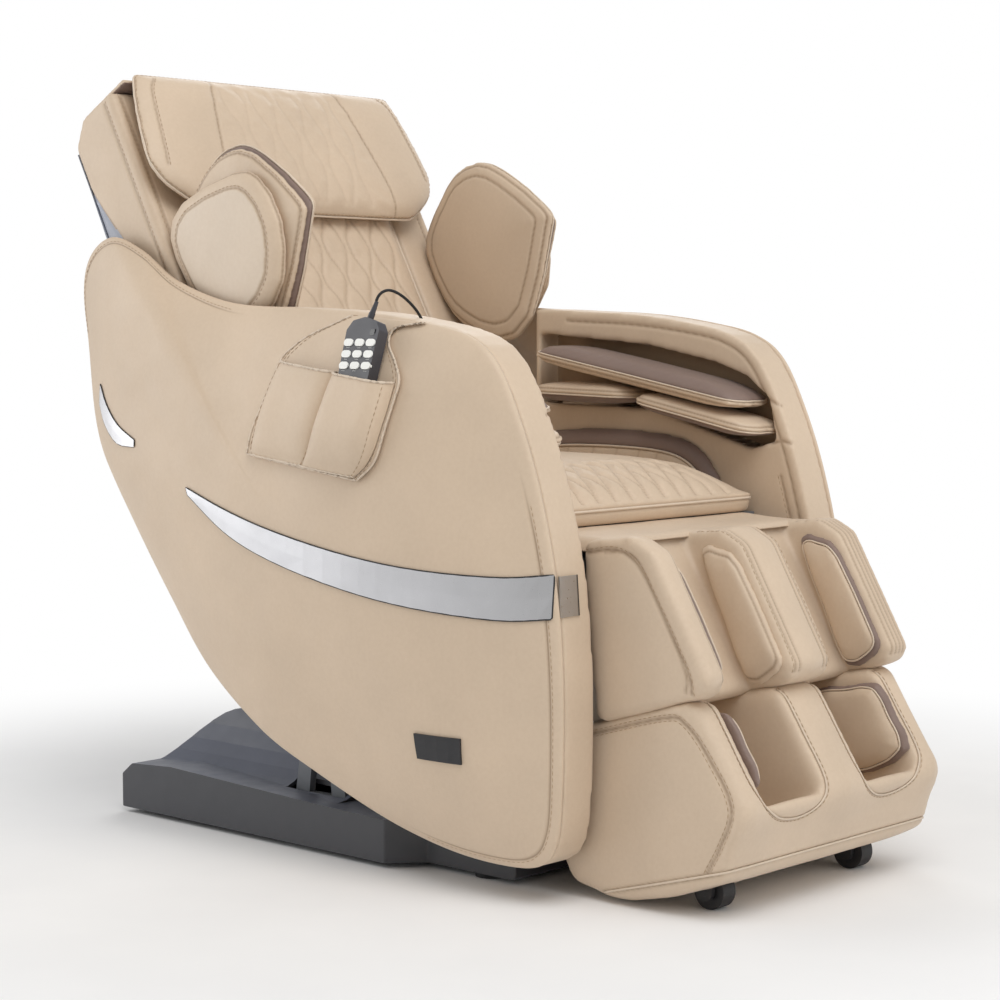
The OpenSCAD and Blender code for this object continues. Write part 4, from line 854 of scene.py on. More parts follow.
def side_panel(name, side, node):
    n = len(EDGE)
    u, v = ((EDGE - PANEL_0) / PANEL_SIZE).T
    # the edge seam goes up the front and along the rear of the top
    sewn = np.clip(ramp(0.3, 0.16, u) * ramp(0.64, 0.5, v) + ramp(0.6, 0.7, u) * ramp(0.8, 0.86, v), 0, 1)
    rings, shade = [], []

    def ring(s, x, dark=0.0):
        q = CENTRE + OUT * np.reshape(s, (-1, 1))
        rings.append(np.stack([np.full(n, 1.0) * x * side, q[:, 0], q[:, 1]], 1))
        shade.append(np.full(n, 1.0) * dark)

    for s in np.linspace(0.03, 0.86, 22):
        ring(np.full(n, s), ARM_OUT + swell(EDGE, np.full(n, s)))
    # near the edge each ring dips at the seam, with painted shade in the dip
    for inset in (44, 38, 32, 27, 23, 20, 18, 16.5, 15, 13.5, 12, 10, 7.5, 5, 3, 1.5, 0.6):
        s = np.maximum(1 - inset / FAR, 0.87)
        dip = math.exp(-((inset - PANEL_SEAM_IN) / 1.9) ** 2)
        round_off = 1.6 * max(0, 1 - inset / 4.0) ** 2
        ring(s, ARM_OUT + swell(EDGE, s) - 1.8 * dip * sewn - round_off, 0.8 * dip ** 2 * sewn)
    e = SEAM + flare(EDGE)
    ring(np.full(n, 1.0), ARM_OUT + e - 2.4)
    ring(np.full(n, 1.0), ARM_OUT + 0.55 * e)
    ring(1 - 0.8 / FAR, ARM_OUT + 0.2)
    ring(np.full(n, 0.965), ARM_OUT + 0.2)
    for s in (0.965, 0.91, 0.8, 0.65, 0.46, 0.24):
        ring(np.full(n, s), ARM_OUT + swell(EDGE, np.full(n, s)) - WALL)
    poles = [[side * (ARM_OUT + bulge), *CENTRE] for bulge in (BULGE, BULGE - WALL)]
    verts = np.vstack(rings + [np.array(poles)])
    m = len(rings)
    faces = []
    for i in range(m - 1):
        for k in range(n):
            a, b = i * n + k, i * n + (k + 1) % n
            faces.append((a, a + n, b + n, b))
    faces += [(m * n, k, (k + 1) % n) for k in range(n)]
    faces += [(m * n + 1, (m - 1) * n + (k + 1) % n, (m - 1) * n + k) for k in range(n)]
    if side < 0:
        faces = [f[::-1] for f in faces]
    obj = from_arrays(name, verts * MM, faces)
    check = normals(obj)[m * n]
    if check[0] * side < 0:
        obj.data.flip_normals()
    set_seam_shade(obj, np.concatenate(shade + [np.zeros(2)]))
    wear(obj, "beige")
    finish_piece(obj, "seat", "leather_beige", node, fill=0.7)
    # a row of stitches beside the edge seam, where it is sewn
    tree = tree_of(obj)
    keep = sewn > 0.5
    start = next(i for i in range(n) if keep[i] and not keep[i - 1])
    for kept, run in itertools.groupby(np.roll(np.arange(n), -start), key=lambda i: keep[i]):
        run = list(run)
        if not kept or len(run) < 8:
            continue
        s = 1 - PANEL_SEAM_IN / FAR[run]
        q = CENTRE + OUT[run] * s[:, None]
        pts = np.stack([side * (ARM_OUT + swell(EDGE[run], s)), q[:, 0], q[:, 1]], 1) * MM
        stitch_along(tree, pts, 4.2 * side)
    return obj


side_panel("panel_right", -1, "side_panel_right")
side_panel("panel_left", 1, "side_panel_left")


# ---- arms ----
CHANNEL = [pn(*p) for p in [(0.56, 0.826), (0.335, 0.806), (0.2, 0.776), (0.14, 0.752), (0.1, 0.715),
                            (0.084, 0.64), (0.13, 0.625), (0.32, 0.69), (0.56, 0.697)]]


def inset_run(inset, low, high):
    """Part of the outline, moved in; low and high are steps of the outline."""
    return (CENTRE + OUT * (1 - inset / FAR)[:, None])[low * EDGE_STEPS:high * EDGE_STEPS]


def arm(side, tag):
    obj = skin_of("arm_" + tag, solids("arm_" + tag)[0], 0.005, 3)
    refined(obj)
    x = side * 250
    inside = (side, 0, 0)

    def on_face(pts, **how):
        return line([(x, p[0], p[1]) for p in pts], inside, **how)

    middle = smooth(CHANNEL, 6, closed=True).mean(0)[0]
    seams = [
        on_face(inset_run(17, 6, 19), depth=1.6, shade=0.8),
        on_face([pn(0.106, 0.716), pn(0.075, 0.70), pn(0.046, 0.675), pn(0.03, 0.66)], depth=1.8, shade=0.8),
        on_face([pn(0.092, 0.636), pn(0.07, 0.64), pn(0.045, 0.632), pn(0.018, 0.61)], depth=2.0, shade=0.8),
        on_face(inset_run(34, 12, 17), depth=1.8, shade=0.8, rows=(3.6,)),
    ]
    sew(obj, "seat", seams)
    wear(obj, "beige", "inner")

    # painted shade: the inner walls deep in the arm's channel wear the darker copy of the leather
    def choose(c, k):
        shaded_walls = (abs(c[:, 0]) > 290) & (abs(k[:, 0]) > 0.6) & (c[:, 0] * k[:, 0] < 0)
        return shaded_walls & (c[:, 2] > 560) & (abs(c[:, 1] - middle) < 330)

    tint(obj, choose)
    return finish_piece(obj, "seat", "leather_beige", "arm_" + tag, fill=0.6)


arm(-1, "right")
arm(1, "left")


# ---- arm pads ----
PAD_ENDS = [(pn(0.113, 0.702), pn(0.53, 0.79), 1), (pn(0.33, 0.716), pn(0.535, 0.722), -1),
            (pn(0.09, 0.658), pn(0.325, 0.712), -1)]
PAD_EDGE = 4.5            # piping above a pad's middle, where its taupe face begins


def arm_pads():
    shapes = solids("arm_pads_right")
    for number, (a, b, dark_side) in enumerate(PAD_ENDS):
        mid = (a + b) / 2
        shape = min(shapes, key=lambda s: np.linalg.norm(s[0].mean(0)[1:] / MM - mid))
        d = (b - a) / np.linalg.norm(b - a)
        up = np.array([0, -d[1], d[0]])
        name = ("upper", "rear", "front")[number]
        obj = skin_of(f"arm_pad_{name}_right", shape, 0.004, 3)
        # fuller than its board: upwards for the upper pad, downwards for the lower ones
        co = coords(obj) / MM
        high = (co - [0, *mid]) @ up * dark_side
        share = 0.85 if number == 0 else 0.25
        grow = np.where(high > 0, share * high, 0) * ramp(0.0, 0.5, 1 - abs(co[:, 0] + 245) / 60)
        set_coords(obj, (co + np.outer(grow * dark_side, up)) * MM)
        edge = PAD_EDGE * dark_side
        rims = [cut((0, *(mid + up[1:] * edge)), up, depth=1.6, width=3.0, shade=0.9, pipe=1.3),
                cut((0, *(mid - up[1:] * edge)), up, depth=1.8, width=3.0, shade=0.9)]
        upholster(obj, "seat", rims, 9, both=True, reach=0.03)
        wear(obj, "beige", "taupe")
        tint(obj, lambda c, k: ((c - [0, *mid]) @ up) * dark_side > PAD_EDGE)
        finish_pair(obj, "seat", "leather_beige", "arm_pads_right", fill=0.7)


arm_pads()


# ---- hip airbags ----
HIP_BAG = [(0, 505), (0.01, 547), (0.14, 587), (0.44, 597), (0.74, 589), (0.79, 555), (0.74, 501),
           (0.35, 487)]


def hip_airbags():
    outline = smooth([(-220 + 455 * a, z) for a, z in HIP_BAG], 10, closed=True)
    face = np.stack([-38 + (outline[:, 0] + 40) * 0.89, 500 + (outline[:, 1] - 500) * 0.72], 1)
    obj = skin_of("hip_airbag_right", solids("hip_airbags")[0], 0.005, 3)
    rim = line([(-200, *q) for q in face], (-1, 0, 0), closed=True, pipe=1.8, depth=2.6, width=3.6)
    folds = []
    for y0 in (-120, -84, -40, 8, 60):
        fold = smooth([(y0, 566), (y0 + 6, 540), (y0 + 2, 516)], 5)
        folds.append(line([(-200, y, z) for y, z in fold], (-1, 0, 0), depth=1.6, width=6.0, shade=0.25))
    upholster(obj, "seat", [rim], 8, folds, both=True, hold=lambda c: abs(c[:, 0]) < 247)
    wear(obj, "beige", "taupe")
    after = np.roll(face, -1, 0)
    turn = after - face
    sense = 1 if (face[:, 0] * after[:, 1] - after[:, 0] * face[:, 1]).sum() > 0 else -1

    def outside(c, _):
        gap = c[:, None, 1:] - face[None]
        side = turn[None, :, 0] * gap[:, :, 1] - turn[None, :, 1] * gap[:, :, 0]
        return (side * sense).min(1) < 0

    tint(obj, outside)
    finish_pair(obj, "seat", "leather_taupe", "hip_airbags", fill=0.6)


hip_airbags()


# ---- seat cushion ----
def seat_cushion():
    obj = skin_of("seat_cushion_leather", solids("seat_cushion")[0], 0.006, 8)
    co = coords(obj) / MM
    above = np.clip((co[:, 2] - 508) / 59, 0, 1)
    fall = 20 * (abs(co[:, 0]) / 236) ** 2.8 + 30 * np.clip((-co[:, 1] - 205) / 95, 0, 1) ** 1.3
    co[:, 2] -= above * np.minimum(fall, 44)
    set_coords(obj, co * MM)
    seams = []
    down, cell = (0, 0, -1), 36.0
    for k in range(-4, 5):
        for turn in (-1, 1):
            pts = [(k * cell + turn * cell * 0.98 * math.sin(t * math.pi / 2) ** 1.3, -206 - 86 * t, 700)
                   for t in np.linspace(0, 1, 16)]
            seams.append(line(pts, down, depth=4.4, width=5.4, shade=0.5))
    for s in (-1, 1):
        side = smooth([(s * 150, 128, 700), (s * 172, 60, 700), (s * 180, -60, 700), (s * 188, -150, 700),
                       (s * 206, -226, 700)], 8)
        seams.append(line(side, down, depth=2.4, width=4.2, shade=0.8, rows=(-4.0,)))
    welt = cut((0, 0, 503), (0, 0, 1), pipe=2.0, depth=2.0, width=3, loops=1)
    upholster(obj, "seat", seams + [welt], 10, hold=lambda c: c[:, 2] > 484)
    wear(obj, "beige")
    finish_piece(obj, "seat", "leather_beige", "seat_cushion", fill=0.8)


seat_cushion()


# ---- back ----
def back_pad():
    obj = skin_of("back_pad_leather", solids("back_pad")[0], 0.006, 6)
    set_coords(obj, coords(obj) * [1.014, 1, 1])
    seams = []
    cell, tall, low, high = 27.0, 116.0, 96.0, 560.0
    for k in range(-6, 7):
        pts = [(k * cell + 9.5 * (-1) ** k * math.cos(2 * math.pi * (h - low) / tall), h)
               for h in np.linspace(low, high, 70)]
        seams.append(BACK.front(-80, pts, depth=2.8, width=5.0, shade=0.4))
    rim = cut(BACK.at(0, -46, 0), BACK.n, pipe=2.0, depth=1.2, width=3, loops=1)
    upholster(obj, "back", seams + [rim], 9, hold=lambda c: BACK.back_from(c)[:, 1] < -38)
    wear(obj, "beige")
    finish_piece(obj, "back", "leather_beige", "back_pad", fill=0.7)


def head_pillow():
    parts = sorted(solids("head_pillow"), key=lambda s: BACK.back_from(s[0] / MM)[:, 1].mean())
    obj = skin_of("head_pillow_leather", parts[0], 0.006, 8)
    seams, faint = [], []
    for s in (-1, 1):
        pts = smooth([(s * 128, 722), (s * 142, 680), (s * 160, 600), (s * 172, 540), (s * 178, 488)], 10)
        seams.append(BACK.front(-130, pts, depth=1.8, width=3.4, shade=0.8))
    border = smooth([(-276, 560), (-268, 620), (-256, 690), (-240, 716)], 8)
    for s in (-1, 1):
        seams.append(BACK.front(-130, border * [s, 1], depth=1.4, width=3.0, shade=0.7, rows=(3.4,)))
    cell, tall = 29.0, 120
    for k in range(-4, 5):
        pts = [(k * cell + 7 * (-1) ** k * math.cos(2 * math.pi * (h - 500) / tall), h)
               for h in np.linspace(506, 700, 30)]
        faint.append(BACK.front(-130, pts, depth=1.6, width=7.0, shade=0.12, pull=False))
    rim = cut(BACK.at(0, -77, 0), BACK.n, pipe=1.8, depth=1.8, width=3.4, loops=1, rows=(5.5,))
    upholster(obj, "back", seams + [rim], 10, faint, hold=lambda c: BACK.back_from(c)[:, 1] < -70)
    wear(obj, "beige")
    finish_piece(obj, "back", "leather_beige", "head_pillow", fill=0.8)
    flap = skin_of("pillow_flap", parts[-1], 0.0035, 3)
    hem = cut(BACK.at(0, 64, 0), BACK.n, depth=0.8, width=2.5, rows=(3.0,), loops=1)
    refined(flap)
    sew(flap, "back", [hem])
    wear(flap, "beige", "taupe")
    tint(flap, lambda c, k: (k @ np.array(BACK.up)) < -0.4)
    finish_piece(flap, "back", "leather_beige", "head_pillow", fill=0.1)


def bolsters():
    obj = skin_of("back_bolsters_leather", solids("back_bolsters")[0], 0.006, 7)
    refined(obj)

    def shell_edge(h):
        """Where the leather ends and the rear shell's side begins, along n."""
        return 78 - 0.31 * (628 - h)

    seams = []
    heights = np.linspace(36, 706, 70)
    for s in (-1, 1):
        seams += [
            BACK.front(-90, [(s * 277, h) for h in heights], rows=(-4,), depth=1.8, shade=0.7),
            BACK.flank(s, 340, [(-24, h) for h in heights], rows=(4,), depth=1.8, shade=0.7),
            BACK.flank(s, 340, [(shell_edge(h), h) for h in np.linspace(250, 620, 50)], depth=1.6, width=2.4),
        ]
    sew(obj, "back", seams)
    wear(obj, "beige", "shell")

    def plastic_side(c, _):
        q = BACK.back_from(c)
        return (abs(q[:, 0]) > 280) & (q[:, 1] > np.maximum(shell_edge(q[:, 2]), 20)) & (q[:, 2] < 628)

    tint(obj, plastic_side)
    finish_piece(obj, "back", "leather_beige", "back_bolsters", fill=0.6)


def wings():
    outer, inner = solids("shoulder_wing_right")
    # each rim: x, piping, shade, rows of stitches
    outer_rims = [(-300.2, None, 0.8, (-3.6,)), (-288.5, None, 0.9, ()), (-283, None, 0.8, ())]
    inner_rims = [(-275, None, 0.9, (-3.6,)), (-267, None, 0.8, ()), (-259, 1.3, 0.9, ()),
                  (-250, None, 0.9, ()), (-244.5, None, 0.8, ())]
    specs = (("outer", outer, outer_rims, 6), ("inner", inner, inner_rims, 4))
    for name, shape, rims, cap in specs:
        obj = skin_of(f"wing_{name}_right", shape, 0.0045, 3)
        rims = [cut((x, 0, 0), (1, 0, 0), pipe=pipe, depth=1.6, width=2.6, shade=dark, rows=rows, loops=1)
                for x, pipe, dark, rows in rims]
        upholster(obj, "back", rims, cap, both=True)
        if name == "outer":
            # painted highlight: the outer wing's outward face wears the lighter copy of the leather
            wear(obj, "pale", "beige")
            tint(obj, lambda c, k: c[:, 0] > -300.2)
        else:
            wear(obj, "beige", "taupe")
            tint(obj, lambda c, k: (c[:, 0] > -267.5) & (c[:, 0] < -259.5))
        finish_pair(obj, "back", "leather_beige", "shoulder_wing_right", fill=0.7)


def back_shell():
    cols, rows, wall = 64, 48, 4
    edge, end = math.asin(0.25), math.radians(174.9)
    rear, half, bulge = 75.3, 292.0, 60.0
    low, high = 20.0, 702.0         # it runs up behind the block that carries the flap
    grooves, vent_low, vent_high, vent_half = (560, 110), 130, 250, 0.42

    def grid(f):
        pts = []
        for i in range(rows + 1):
            a = edge + (end - edge) * i / rows
            for k in range(cols + 1):
                t = 2 * k / cols - 1
                h = low + (high - low) * i / rows
                h -= 26 * t ** 8 * max(0, (h - 600) / (high - 600))
                groove = sum(1.6 * math.exp(-((h - at) / 3.2) ** 2) for at in grooves)
                vent = 0.0
                if vent_low < h < vent_high and abs(t) < vent_half:
                    slots = math.sin((h - vent_low) / (vent_high - vent_low) * 6 * math.pi)
                    vent = 2.2 * max(0, slots) * min(1, (vent_half - abs(t)) * 18)
                n = rear + (bulge - f) * math.sqrt(max(0, 1 - t * t)) * math.sqrt(math.sin(a))
                pts.append(BACK.at(t * (half - f), n - (0 if f else groove + vent) * (1 - t ** 8), h))
        return pts

    top, under = grid(0), grid(wall)
    obj = slab("rear_shell", top, under, cols, SAME_POINT)
    wear(obj, "shell")
    finish_piece(obj, "back", "shell_plastic", "back_shell")


back_pad()
head_pillow()
bolsters()
wings()
back_shell()


# ---- leg rest ----
def calf_rest():
    obj = skin_of("calf_rest_leather", solids("calf_body")[0], 0.005, 13)
    seams = []
    cheek = smooth([(-34, 10), (-78, 4), (-102, -10), (-118, -36), (-140, -110), (-156, -176),
                    (-154, -200)], 10)
    for s in (-1, 1):
        seams.append(LEG.flank(s, 270, cheek, depth=2.2, rows=(4 * s,), shade=0.85))
        folds = ((202, ()), (211, ()), (220, ())) if s > 0 else ()
        for x, rows in ((36, (-3.4 * s,)), (27, ()), (193, ())) + folds:
            pts = [(s * x, h) for h in np.linspace(18, -196, 70)]
            seams.append(LEG.front(-300, pts, depth=1.8, rows=rows, width=2.8, shade=0.7))
        # edge of the channel's inner wall
        edge = smooth([(-64, 4), (-96, -4), (-116, -24), (-134, -90), (-152, -170), (-146, -196)], 8)
        seams.append(LEG.flank(s, 110, edge, depth=1.6, width=2.6, shade=0.7))
    upholster(obj, "leg", seams, 12, cloth=False, reach=0.03)
    wear(obj, "beige")
    finish_piece(obj, "leg", "leather_beige", "calf_body", fill=0.6)


def side_leaves(node, body, names, cap):
    """Air leaves on the right-hand walls of a channel, and their twins on the left."""
    shapes = [q for q in solids(node) if q[0][:, 0].mean() < 0]
    for shape, name in zip(shapes, names):
        x = shape[0][:, 0] / MM
        lo, hi = x.min(), x.max()
        outer_wall = len(shapes) == 1 or name == names[0]
        face = 1 if outer_wall else -1      # the face looks into the channel
        wall = lo if face > 0 else hi
        at = wall + face * (hi - lo) * 0.6
        obj = skin_of(name + "_right", shape, 0.004, 3)
        rim = cut((at, 0, 0), (1, 0, 0), pipe=1.3 if outer_wall else None, depth=1.6, width=2.8, loops=1,
                  shade=0.8)
        upholster(obj, body, [rim], cap, both=True, hold=lambda c: abs(c[:, 0] - wall) > 3)
        wear(obj, "beige", "taupe" if outer_wall else "beige")
        tint(obj, lambda c, k: (c[:, 0] - at) * face < 0)
        finish_pair(obj, body, "leather_beige", node, fill=0.7)


# Plane between the foot rest's board and its wheel forks, as (n, s) of the leg rest: a point and its normal
FORK_POINT, FORK_NORMAL = (-70, -434.5), (8 / 135.2, -135 / 135.2)


def foot_rest():
    under = LEG.at(0, *FORK_NORMAL) - np.array(LEG.at(0, 0, 0))
    body, forks = sliced(solids("foot_body")[0], LEG.at(0, *FORK_POINT), under)
    obj = skin_of("foot_rest_leather", body, 0.005, 22)
    # the leather hangs a little below its board
    q = LEG.back_from(coords(obj) / MM)
    drop = 9 * ramp(-392, -425, q[:, 2]) * ramp(95, 50, q[:, 1])
    set_coords(obj, np.stack(LEG.at(q[:, 0], q[:, 1], q[:, 2] - drop), 1) * MM)
    seams = []
    for s in (-1, 1):
        side = smooth([(40, -222), (-100, -222), (-134, -236), (-160, -290), (-176, -352), (-150, -392),
                       (-118, -424)], 9)
        seams.append(LEG.flank(s, 270, side, depth=2.2, rows=(-4, 4), shade=0.85))
        rim = smooth([(37, -214), (37, -280), (38, -335), (52, -366), (90, -380), (140, -377), (172, -361),
                      (189, -330), (190, -270), (190, -214)], 8)
        seams.append(LEG.front(-340, rim * [s, 1], depth=1.4, pipe=1.3, rows=(4 * s,), shade=0.8))
    hem = cut(LEG.at(0, 0, -427), LEG.up, depth=1.8, pipe=1.5, loops=1,
              keep=lambda x, y, z: LEG.back_from(np.array([[x, y, z]]))[0][1] < 60)
    upholster(obj, "foot", seams, 14, [hem], cloth=False, reach=0.035)
    wear(obj, "beige")
    finish_piece(obj, "foot", "leather_beige", "foot_body", fill=0.6)
    fork = from_arrays("wheel_forks", *forks)
    mod = fork.modifiers.new("edge", "BEVEL")
    mod.width, mod.segments, mod.limit_method = 0.0008, 2, "ANGLE"
    apply_modifiers(fork)
    wear(fork, "black")
    placed(fork, "foot", "black_plastic", "foot_body")


calf_rest()
side_leaves("calf_pads", "leg", ("calf_leaf_outer", "calf_leaf_inner"), 4)
foot_rest()
side_leaves("foot_pads", "foot", ("foot_leaf",), 4)


# ---- knee flap: leather from the seat over the top of the calf rest ----
def knee_flap():
    prof = smooth([(-286, 481.0), (-298, 481.4), (-314, 480.4), (-332, 479.2), (-350, 478.4),
                   (-368, 478.0), (-382, 477.6), (-393, 475.0), (-397, 470.0)], 4)
    half, cols, thick = 231.0, 60, 1.6
    top = []
    for i, (y, z) in enumerate(prof):
        for k in range(cols + 1):
            t = 2 * k / cols - 1
            v = i / (len(prof) - 1)
            wave = (1.3 * math.sin(9 * t + 2.2 * v) * math.sin(math.pi * v)
                    + 0.8 * math.sin(23 * t + 1.3) * v * (1 - v) * 2)
            drop = 16 * (max(0, abs(t) - 0.93) / 0.07) ** 1.5
            top.append((t * (half - 3 * v), y, z + wave * (1 - v) - drop))
    low = [(x, y, z - thick) for x, y, z in top]
    obj = slab("knee_flap", top, low, cols)
    wear(obj, "beige")
    smooth_shade(obj)
    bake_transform(obj)


knee_flap()


# ---- pocket and handset ----
POCKET_AT, POCKET_SIZE = pn(0.343, 0.858), np.array([292.0, 224.0])
FLAP_REAR = [(0.60, -0.86), (0.59, -0.73), (0.55, -0.58), (0.51, -0.42), (0.48, -0.27), (0.415, -0.185),
             (0.34, -0.124), (0.22, -0.06), (0.12, -0.005)]
FLAP_FRONT = [(-0.14, -0.985), (-0.235, -0.87), (-0.28, -0.66), (-0.305, -0.50), (-0.31, -0.39),
              (-0.255, -0.28), (-0.18, -0.17), (-0.19, -0.08), (-0.34, -0.05)]
POUCH_REAR = [(0.57, -0.86), (0.56, -0.80), (0.54, -0.69), (0.52, -0.58), (0.50, -0.47), (0.48, -0.37),
              (0.455, -0.285)]
POUCH_FRONT = [(-0.13, -0.965), (-0.19, -0.90), (-0.235, -0.80), (-0.26, -0.69), (-0.28, -0.58),
               (-0.29, -0.49), (-0.295, -0.405)]
POUCH_SEAM, POUCH_T = 0.52, (15.0, 25.0)
LIFT, THICK = 2.6, 4.0
FLAP_COLS, POUCH_COLS = 48, 96
STITCH_COL = 2            # columns from the flap's edge to its stitches


def pk(points):
    return np.array(points) * POCKET_SIZE + POCKET_AT


def leather_sheet(name, rear, front, cols, height, wall, steps):
    """Leather between two edges, standing height(t, v) off the panel; returns it and its grid of points."""
    a, b = smooth(pk(rear), steps), smooth(pk(front), steps)
    rows = len(a) - 1
    outer, inner = [], []
    for i in range(rows + 1):
        for k in range(cols + 1):
            y, z = a[i] + (b[i] - a[i]) * k / cols
            x = panel_x(y, z)
            h = height(k / cols, i / rows)
            outer.append((-(x + h + wall), y, z))
            inner.append((-(x + h), y, z))
    obj = slab(name, outer, inner, cols)
    grid = np.array(outer).reshape(rows + 1, cols + 1, 3) * MM
    area = sum(float(np.linalg.norm(np.cross(grid[i + 1, k] - grid[i, k], grid[i, k + 1] - grid[i, k])))
               for i in range(rows) for k in range(cols))
    return obj, grid, area


def bound_edge(pts, tree, radius):
    """Binding on an edge of the pocket, its radius in millimetres."""
    pts = spaced(pts, 0.004)
    BINDING.setdefault("seat", Strands()).tube(pts, near_normals(tree, pts), radius * MM, False, 8, 0.8)


def pocket():
    def flap_h(t, v):
        return LIFT + 0.5 * math.sin(7 * t + 5 * v)

    flap, grid, area = leather_sheet("pocket_flap", FLAP_REAR, FLAP_FRONT, FLAP_COLS, flap_h, THICK - 0.8, 6)
    wear(flap, "beige")
    finish_piece(flap, "seat", "leather_beige", "remote_pocket")
    tree = tree_of(flap)
    for col in (0, -1):
        bound_edge(grid[:, col], tree, 1.8)
        inner = grid[:, STITCH_COL if col == 0 else -1 - STITCH_COL]
        stitch_along(tree, inner)
        stitch_along(tree, inner, 4.5 if col else -4.5)
    bound_edge(grid[0], tree, 1.8)

    def pouch_h(t, v):
        rear = t < POUCH_SEAM
        u = t / POUCH_SEAM if rear else (t - POUCH_SEAM) / (1 - POUCH_SEAM)
        full = (math.sqrt(max(0, 1 - abs(2 * u - 1) ** 5))
                * math.sin(math.radians(90 * min(1, 0.02 + v * 1.8))) ** 0.8)
        sag = 0.9 * math.sin(11 * t + 4 * v) * full
        return LIFT + THICK + 0.3 + POUCH_T[0 if rear else 1] * full + sag

    pouch, grid, area = leather_sheet("pocket_pouch", POUCH_REAR, POUCH_FRONT, POUCH_COLS, pouch_h, 2, 8)
    wear(pouch, "beige")
    finish_piece(pouch, "seat", "leather_beige", "remote_pocket")
    tree = tree_of(pouch)
    bound_edge(grid[-1], tree, 2.0)
    bound_edge(grid[0], tree, 2.0)
    stitch_along(tree, grid[2:, int(POUCH_SEAM * POUCH_COLS)])
    for col in (STITCH_COL, -1 - STITCH_COL):
        stitch_along(tree, grid[1:, col])


pocket()


# ---- dark outlines of the trims ----
STRIPE_TOP = [(0.664, 0.565), (0.57, 0.533), (0.471, 0.506), (0.33, 0.477), (0.211, 0.461),
              (0.085, 0.456), (0.012, 0.463)]
STRIPE_LOW = [(0.66, 0.553), (0.57, 0.494), (0.471, 0.456), (0.33, 0.421), (0.211, 0.401),
              (0.085, 0.391), (0.012, 0.396)]
SLIVER_TOP = [(0.924, 0.735), (0.90, 0.70), (0.86, 0.665), (0.807, 0.640)]
SLIVER_LOW = [(0.924, 0.700), (0.90, 0.662), (0.86, 0.632), (0.807, 0.628)]
OUTLINES = {}


def outline_trim(top, low, radius):
    a, b = smooth(top, 12), smooth(low, 12)
    ring = np.vstack([a, b[::-1]]) * PANEL_SIZE + PANEL_0
    ring = spaced(ring, 4, True)
    pts = np.array([(-(panel_x(*q) + 1.4), *q) for q in ring]) * MM
    nor = np.tile([-1.0, 0, 0], (len(pts), 1))
    OUTLINES.setdefault("seat", Strands()).tube(pts, nor, radius * MM, True, 8)


Strands.both = True
outline_trim(STRIPE_TOP, STRIPE_LOW, 1.2)
outline_trim(SLIVER_TOP, SLIVER_LOW, 1.0)
Strands.both = False

REMOTE_T = 18.0


def handset():
    at = pk([(-0.095, -0.343)])[0]
    out = panel_x(*at) + LIFT + THICK + REMOTE_T / 2 + 3
    lean = math.radians(17)

    def place(a, b, c):
        """a out of the face, b across, c up the handset."""
        x, y, z = -a, -b, c
        x, z = x * math.cos(lean) + z * math.sin(lean), -x * math.sin(lean) + z * math.cos(lean)
        return np.array([x - out, y + at[0], z + at[1]]) * MM

    def plate(name, b0, b1, c0, c1, a0, a1, r, mat, slot):
        """Small rounded plate on the face."""
        corner = []
        corners = ((b1 - r, c1 - r, 0), (b0 + r, c1 - r, 90), (b0 + r, c0 + r, 180), (b1 - r, c0 + r, 270))
        for cb, cc, start in corners:
            for k in range(6):
                t = math.radians(start + 18 * k)
                corner.append((cb + r * math.cos(t), cc + r * math.sin(t)))
        n = len(corner)
        mid = ((b0 + b1) / 2, (c0 + c1) / 2)
        rings = [(a0, 1.0), (a1 - 0.3, 1.0), (a1, 0.93)]
        verts = [place(a, mid[0] + (b - mid[0]) * f, mid[1] + (c - mid[1]) * f)
                 for a, f in rings for b, c in corner]
        faces = [(i * n + k, i * n + (k + 1) % n, (i + 1) * n + (k + 1) % n, (i + 1) * n + k)
                 for i in range(2) for k in range(n)]
        faces += [tuple(range(n - 1, -1, -1)), tuple(2 * n + k for k in range(n))]
        obj = outward(from_arrays(name, verts, faces))
        placed(wear(obj, mat), "seat", slot)

    face = REMOTE_T / 2
    plate("handset_window", 15, 24, 48, 57, face - 0.8, face + 0.35, 1.2, "glass", "black_plastic")
    # small marks under the keys, generic bars
    bars = Strands()
    for row in range(3):
        for col in range(3):
            b, c = (col - 1) * 21, (38, 22, 6)[row] - 7.2
            pts = np.array([place(face + 0.1, b - 3.2, c), place(face + 0.1, b + 3.2, c)])
            nor = np.array([place(1, 0, 0) - place(0, 0, 0)] * 2) / MM
            bars.tube(pts, nor, 0.45 * MM, False, 6, 0.5)
    obj = from_arrays("handset_marks", bars.verts, bars.faces)
    placed(wear(obj, "key"), "seat", "key_white")


handset()


# ---- thread and piping, one piece of each for a body ----
# piping and binding wear the lighter copy of the leather: painted highlight on their rounded tops
for kind, store, mat, slot in (("thread", THREAD, "thread", "leather_taupe"),
                               ("piping", PIPING, "pale", "leather_beige"),
                               ("binding", BINDING, "pale", "leather_beige"),
                               ("trim_outline", OUTLINES, "black", "black_plastic")):
    for body, strands in store.items():
        piece = from_arrays(f"{kind}_{body}", strands.verts, strands.faces)
        finish_piece(wear(piece, mat), body, slot)

# ---- CAD nodes that stay ----
KEPT = {
    "base": ["base_cover"],
    "rubber": ["rubber_feet", "roller_1", "roller_2", "roller_3", "roller_4"],
    "black": ["power_inlet", "power_switch", "tilt_motor", "recline_motor", "leg_motor", "foot_wheel_left",
              "foot_wheel_right", "rear_cover", "massage_carriage", "air_pump", "side_plate"],
    "silver": ["side_trims"],
    "steel": ["base_frame", "seat_frame", "back_frame", "calf_frame", "roller_arm_left", "roller_arm_right"],
    "bright": ["tilt_rod", "recline_rod", "leg_rod", "lead_screw", "foot_slide"],
    "cast": ["power_unit"],
    "remote": ["remote_body"],
    "key": [f"key_{k}" for k in range(1, 10)],
}
for mat, names in KEPT.items():
    for name in names:
        node = NODES[name]
        if not node.data.materials:
            node.data.materials.append(M[mat])
        for cell in node.material_slots:
            cell.material = M[mat]

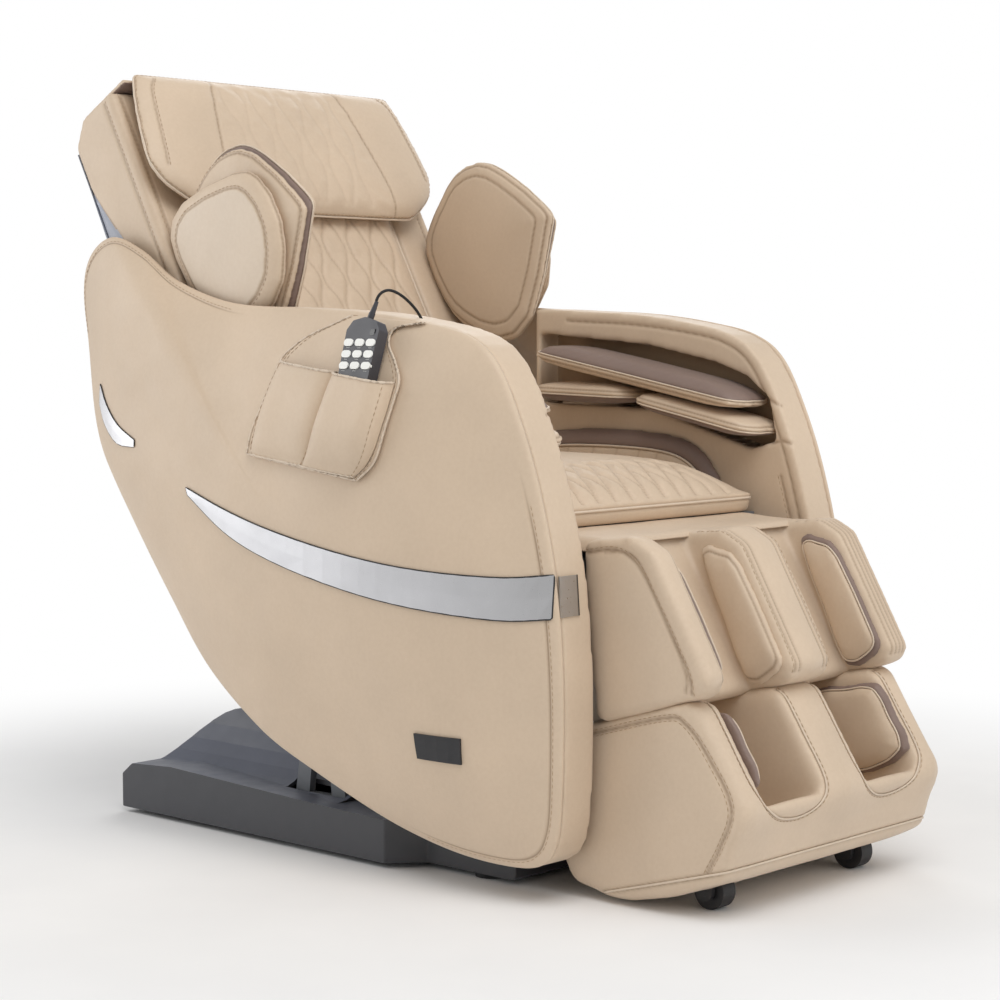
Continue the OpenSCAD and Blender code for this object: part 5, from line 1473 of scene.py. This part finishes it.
# ---- floor and light ----
floor = from_arrays("floor", [(-9, -9, 0), (9, -9, 0), (9, 9, 0), (-9, 9, 0)], [(0, 1, 2, 3)])
ground = Mat("floor_pale", Roughness=0.85)
far = ground.add("ShaderNodeVectorMath", {0: ground.place}, operation="LENGTH").outputs["Value"]
ground.to("Base Color", ground.mixed(ground.span(ground.noise(3.0), 0, 1), (0.86, 0.86, 0.865, 1),
                                     (0.9, 0.9, 0.9, 1)))
fade = ground.add("ShaderNodeMapRange",
                  {"Value": far, "From Min": 0.75, "From Max": 1.7, "To Min": 0.0, "To Max": 1.0},
                  interpolation_type="SMOOTHSTEP").outputs[0]
path = ground.add("ShaderNodeLightPath")
seen = ground.add("ShaderNodeMath", {0: path.outputs["Is Camera Ray"], 1: path.outputs["Is Glossy Ray"]},
                  operation="MAXIMUM").outputs[0]
part = ground.add("ShaderNodeMath", {0: seen, 1: fade}, operation="MULTIPLY").outputs[0]
glow = ground.add("ShaderNodeEmission", {"Color": (1, 1, 1, 1), "Strength": 1.0}).outputs[0]
blend = ground.add("ShaderNodeMixShader", {0: part, 1: ground.shader.outputs[0], 2: glow})
ground.tree.links.new(blend.outputs[0], ground.tree.nodes["Material Output"].inputs["Surface"])
floor.data.materials.append(ground.mat)

world = bpy.data.worlds.new("studio")
bpy.context.scene.world = world
sky = Nodes(world)
sky.tree.nodes.clear()
path = sky.add("ShaderNodeLightPath")
soft = sky.add("ShaderNodeBackground", {"Color": (1.0, 0.99, 0.97, 1), "Strength": 0.5}).outputs[0]
white = sky.add("ShaderNodeBackground", {"Color": (1, 1, 1, 1), "Strength": 1.0}).outputs[0]
rays = sky.add("ShaderNodeMath", {0: path.outputs["Is Camera Ray"], 1: path.outputs["Is Transmission Ray"]},
               operation="MAXIMUM").outputs[0]
mix = sky.add("ShaderNodeMixShader", {0: rays, 1: soft, 2: white}).outputs[0]
sky.add("ShaderNodeOutputWorld", {0: mix})


def lamp(name, place, size, watts):
    data = bpy.data.lights.new(name, "AREA")
    data.shape, data.size, data.energy = "SQUARE", size, watts
    obj = link(name, data)
    obj.location = place
    obj.rotation_euler = (Vector((0, -0.1, 0.5)) - Vector(place)).to_track_quat("-Z", "Y").to_euler()


lamp("key", (-1.0, -1.9, 3.6), 2.6, 68)
lamp("left", (-2.3, 3.2, 1.5), 2.6, 46)
lamp("front", (1.3, -3.6, 2.2), 2.4, 24)
lamp("rim", (2.6, 2.2, 2.8), 2.0, 26)
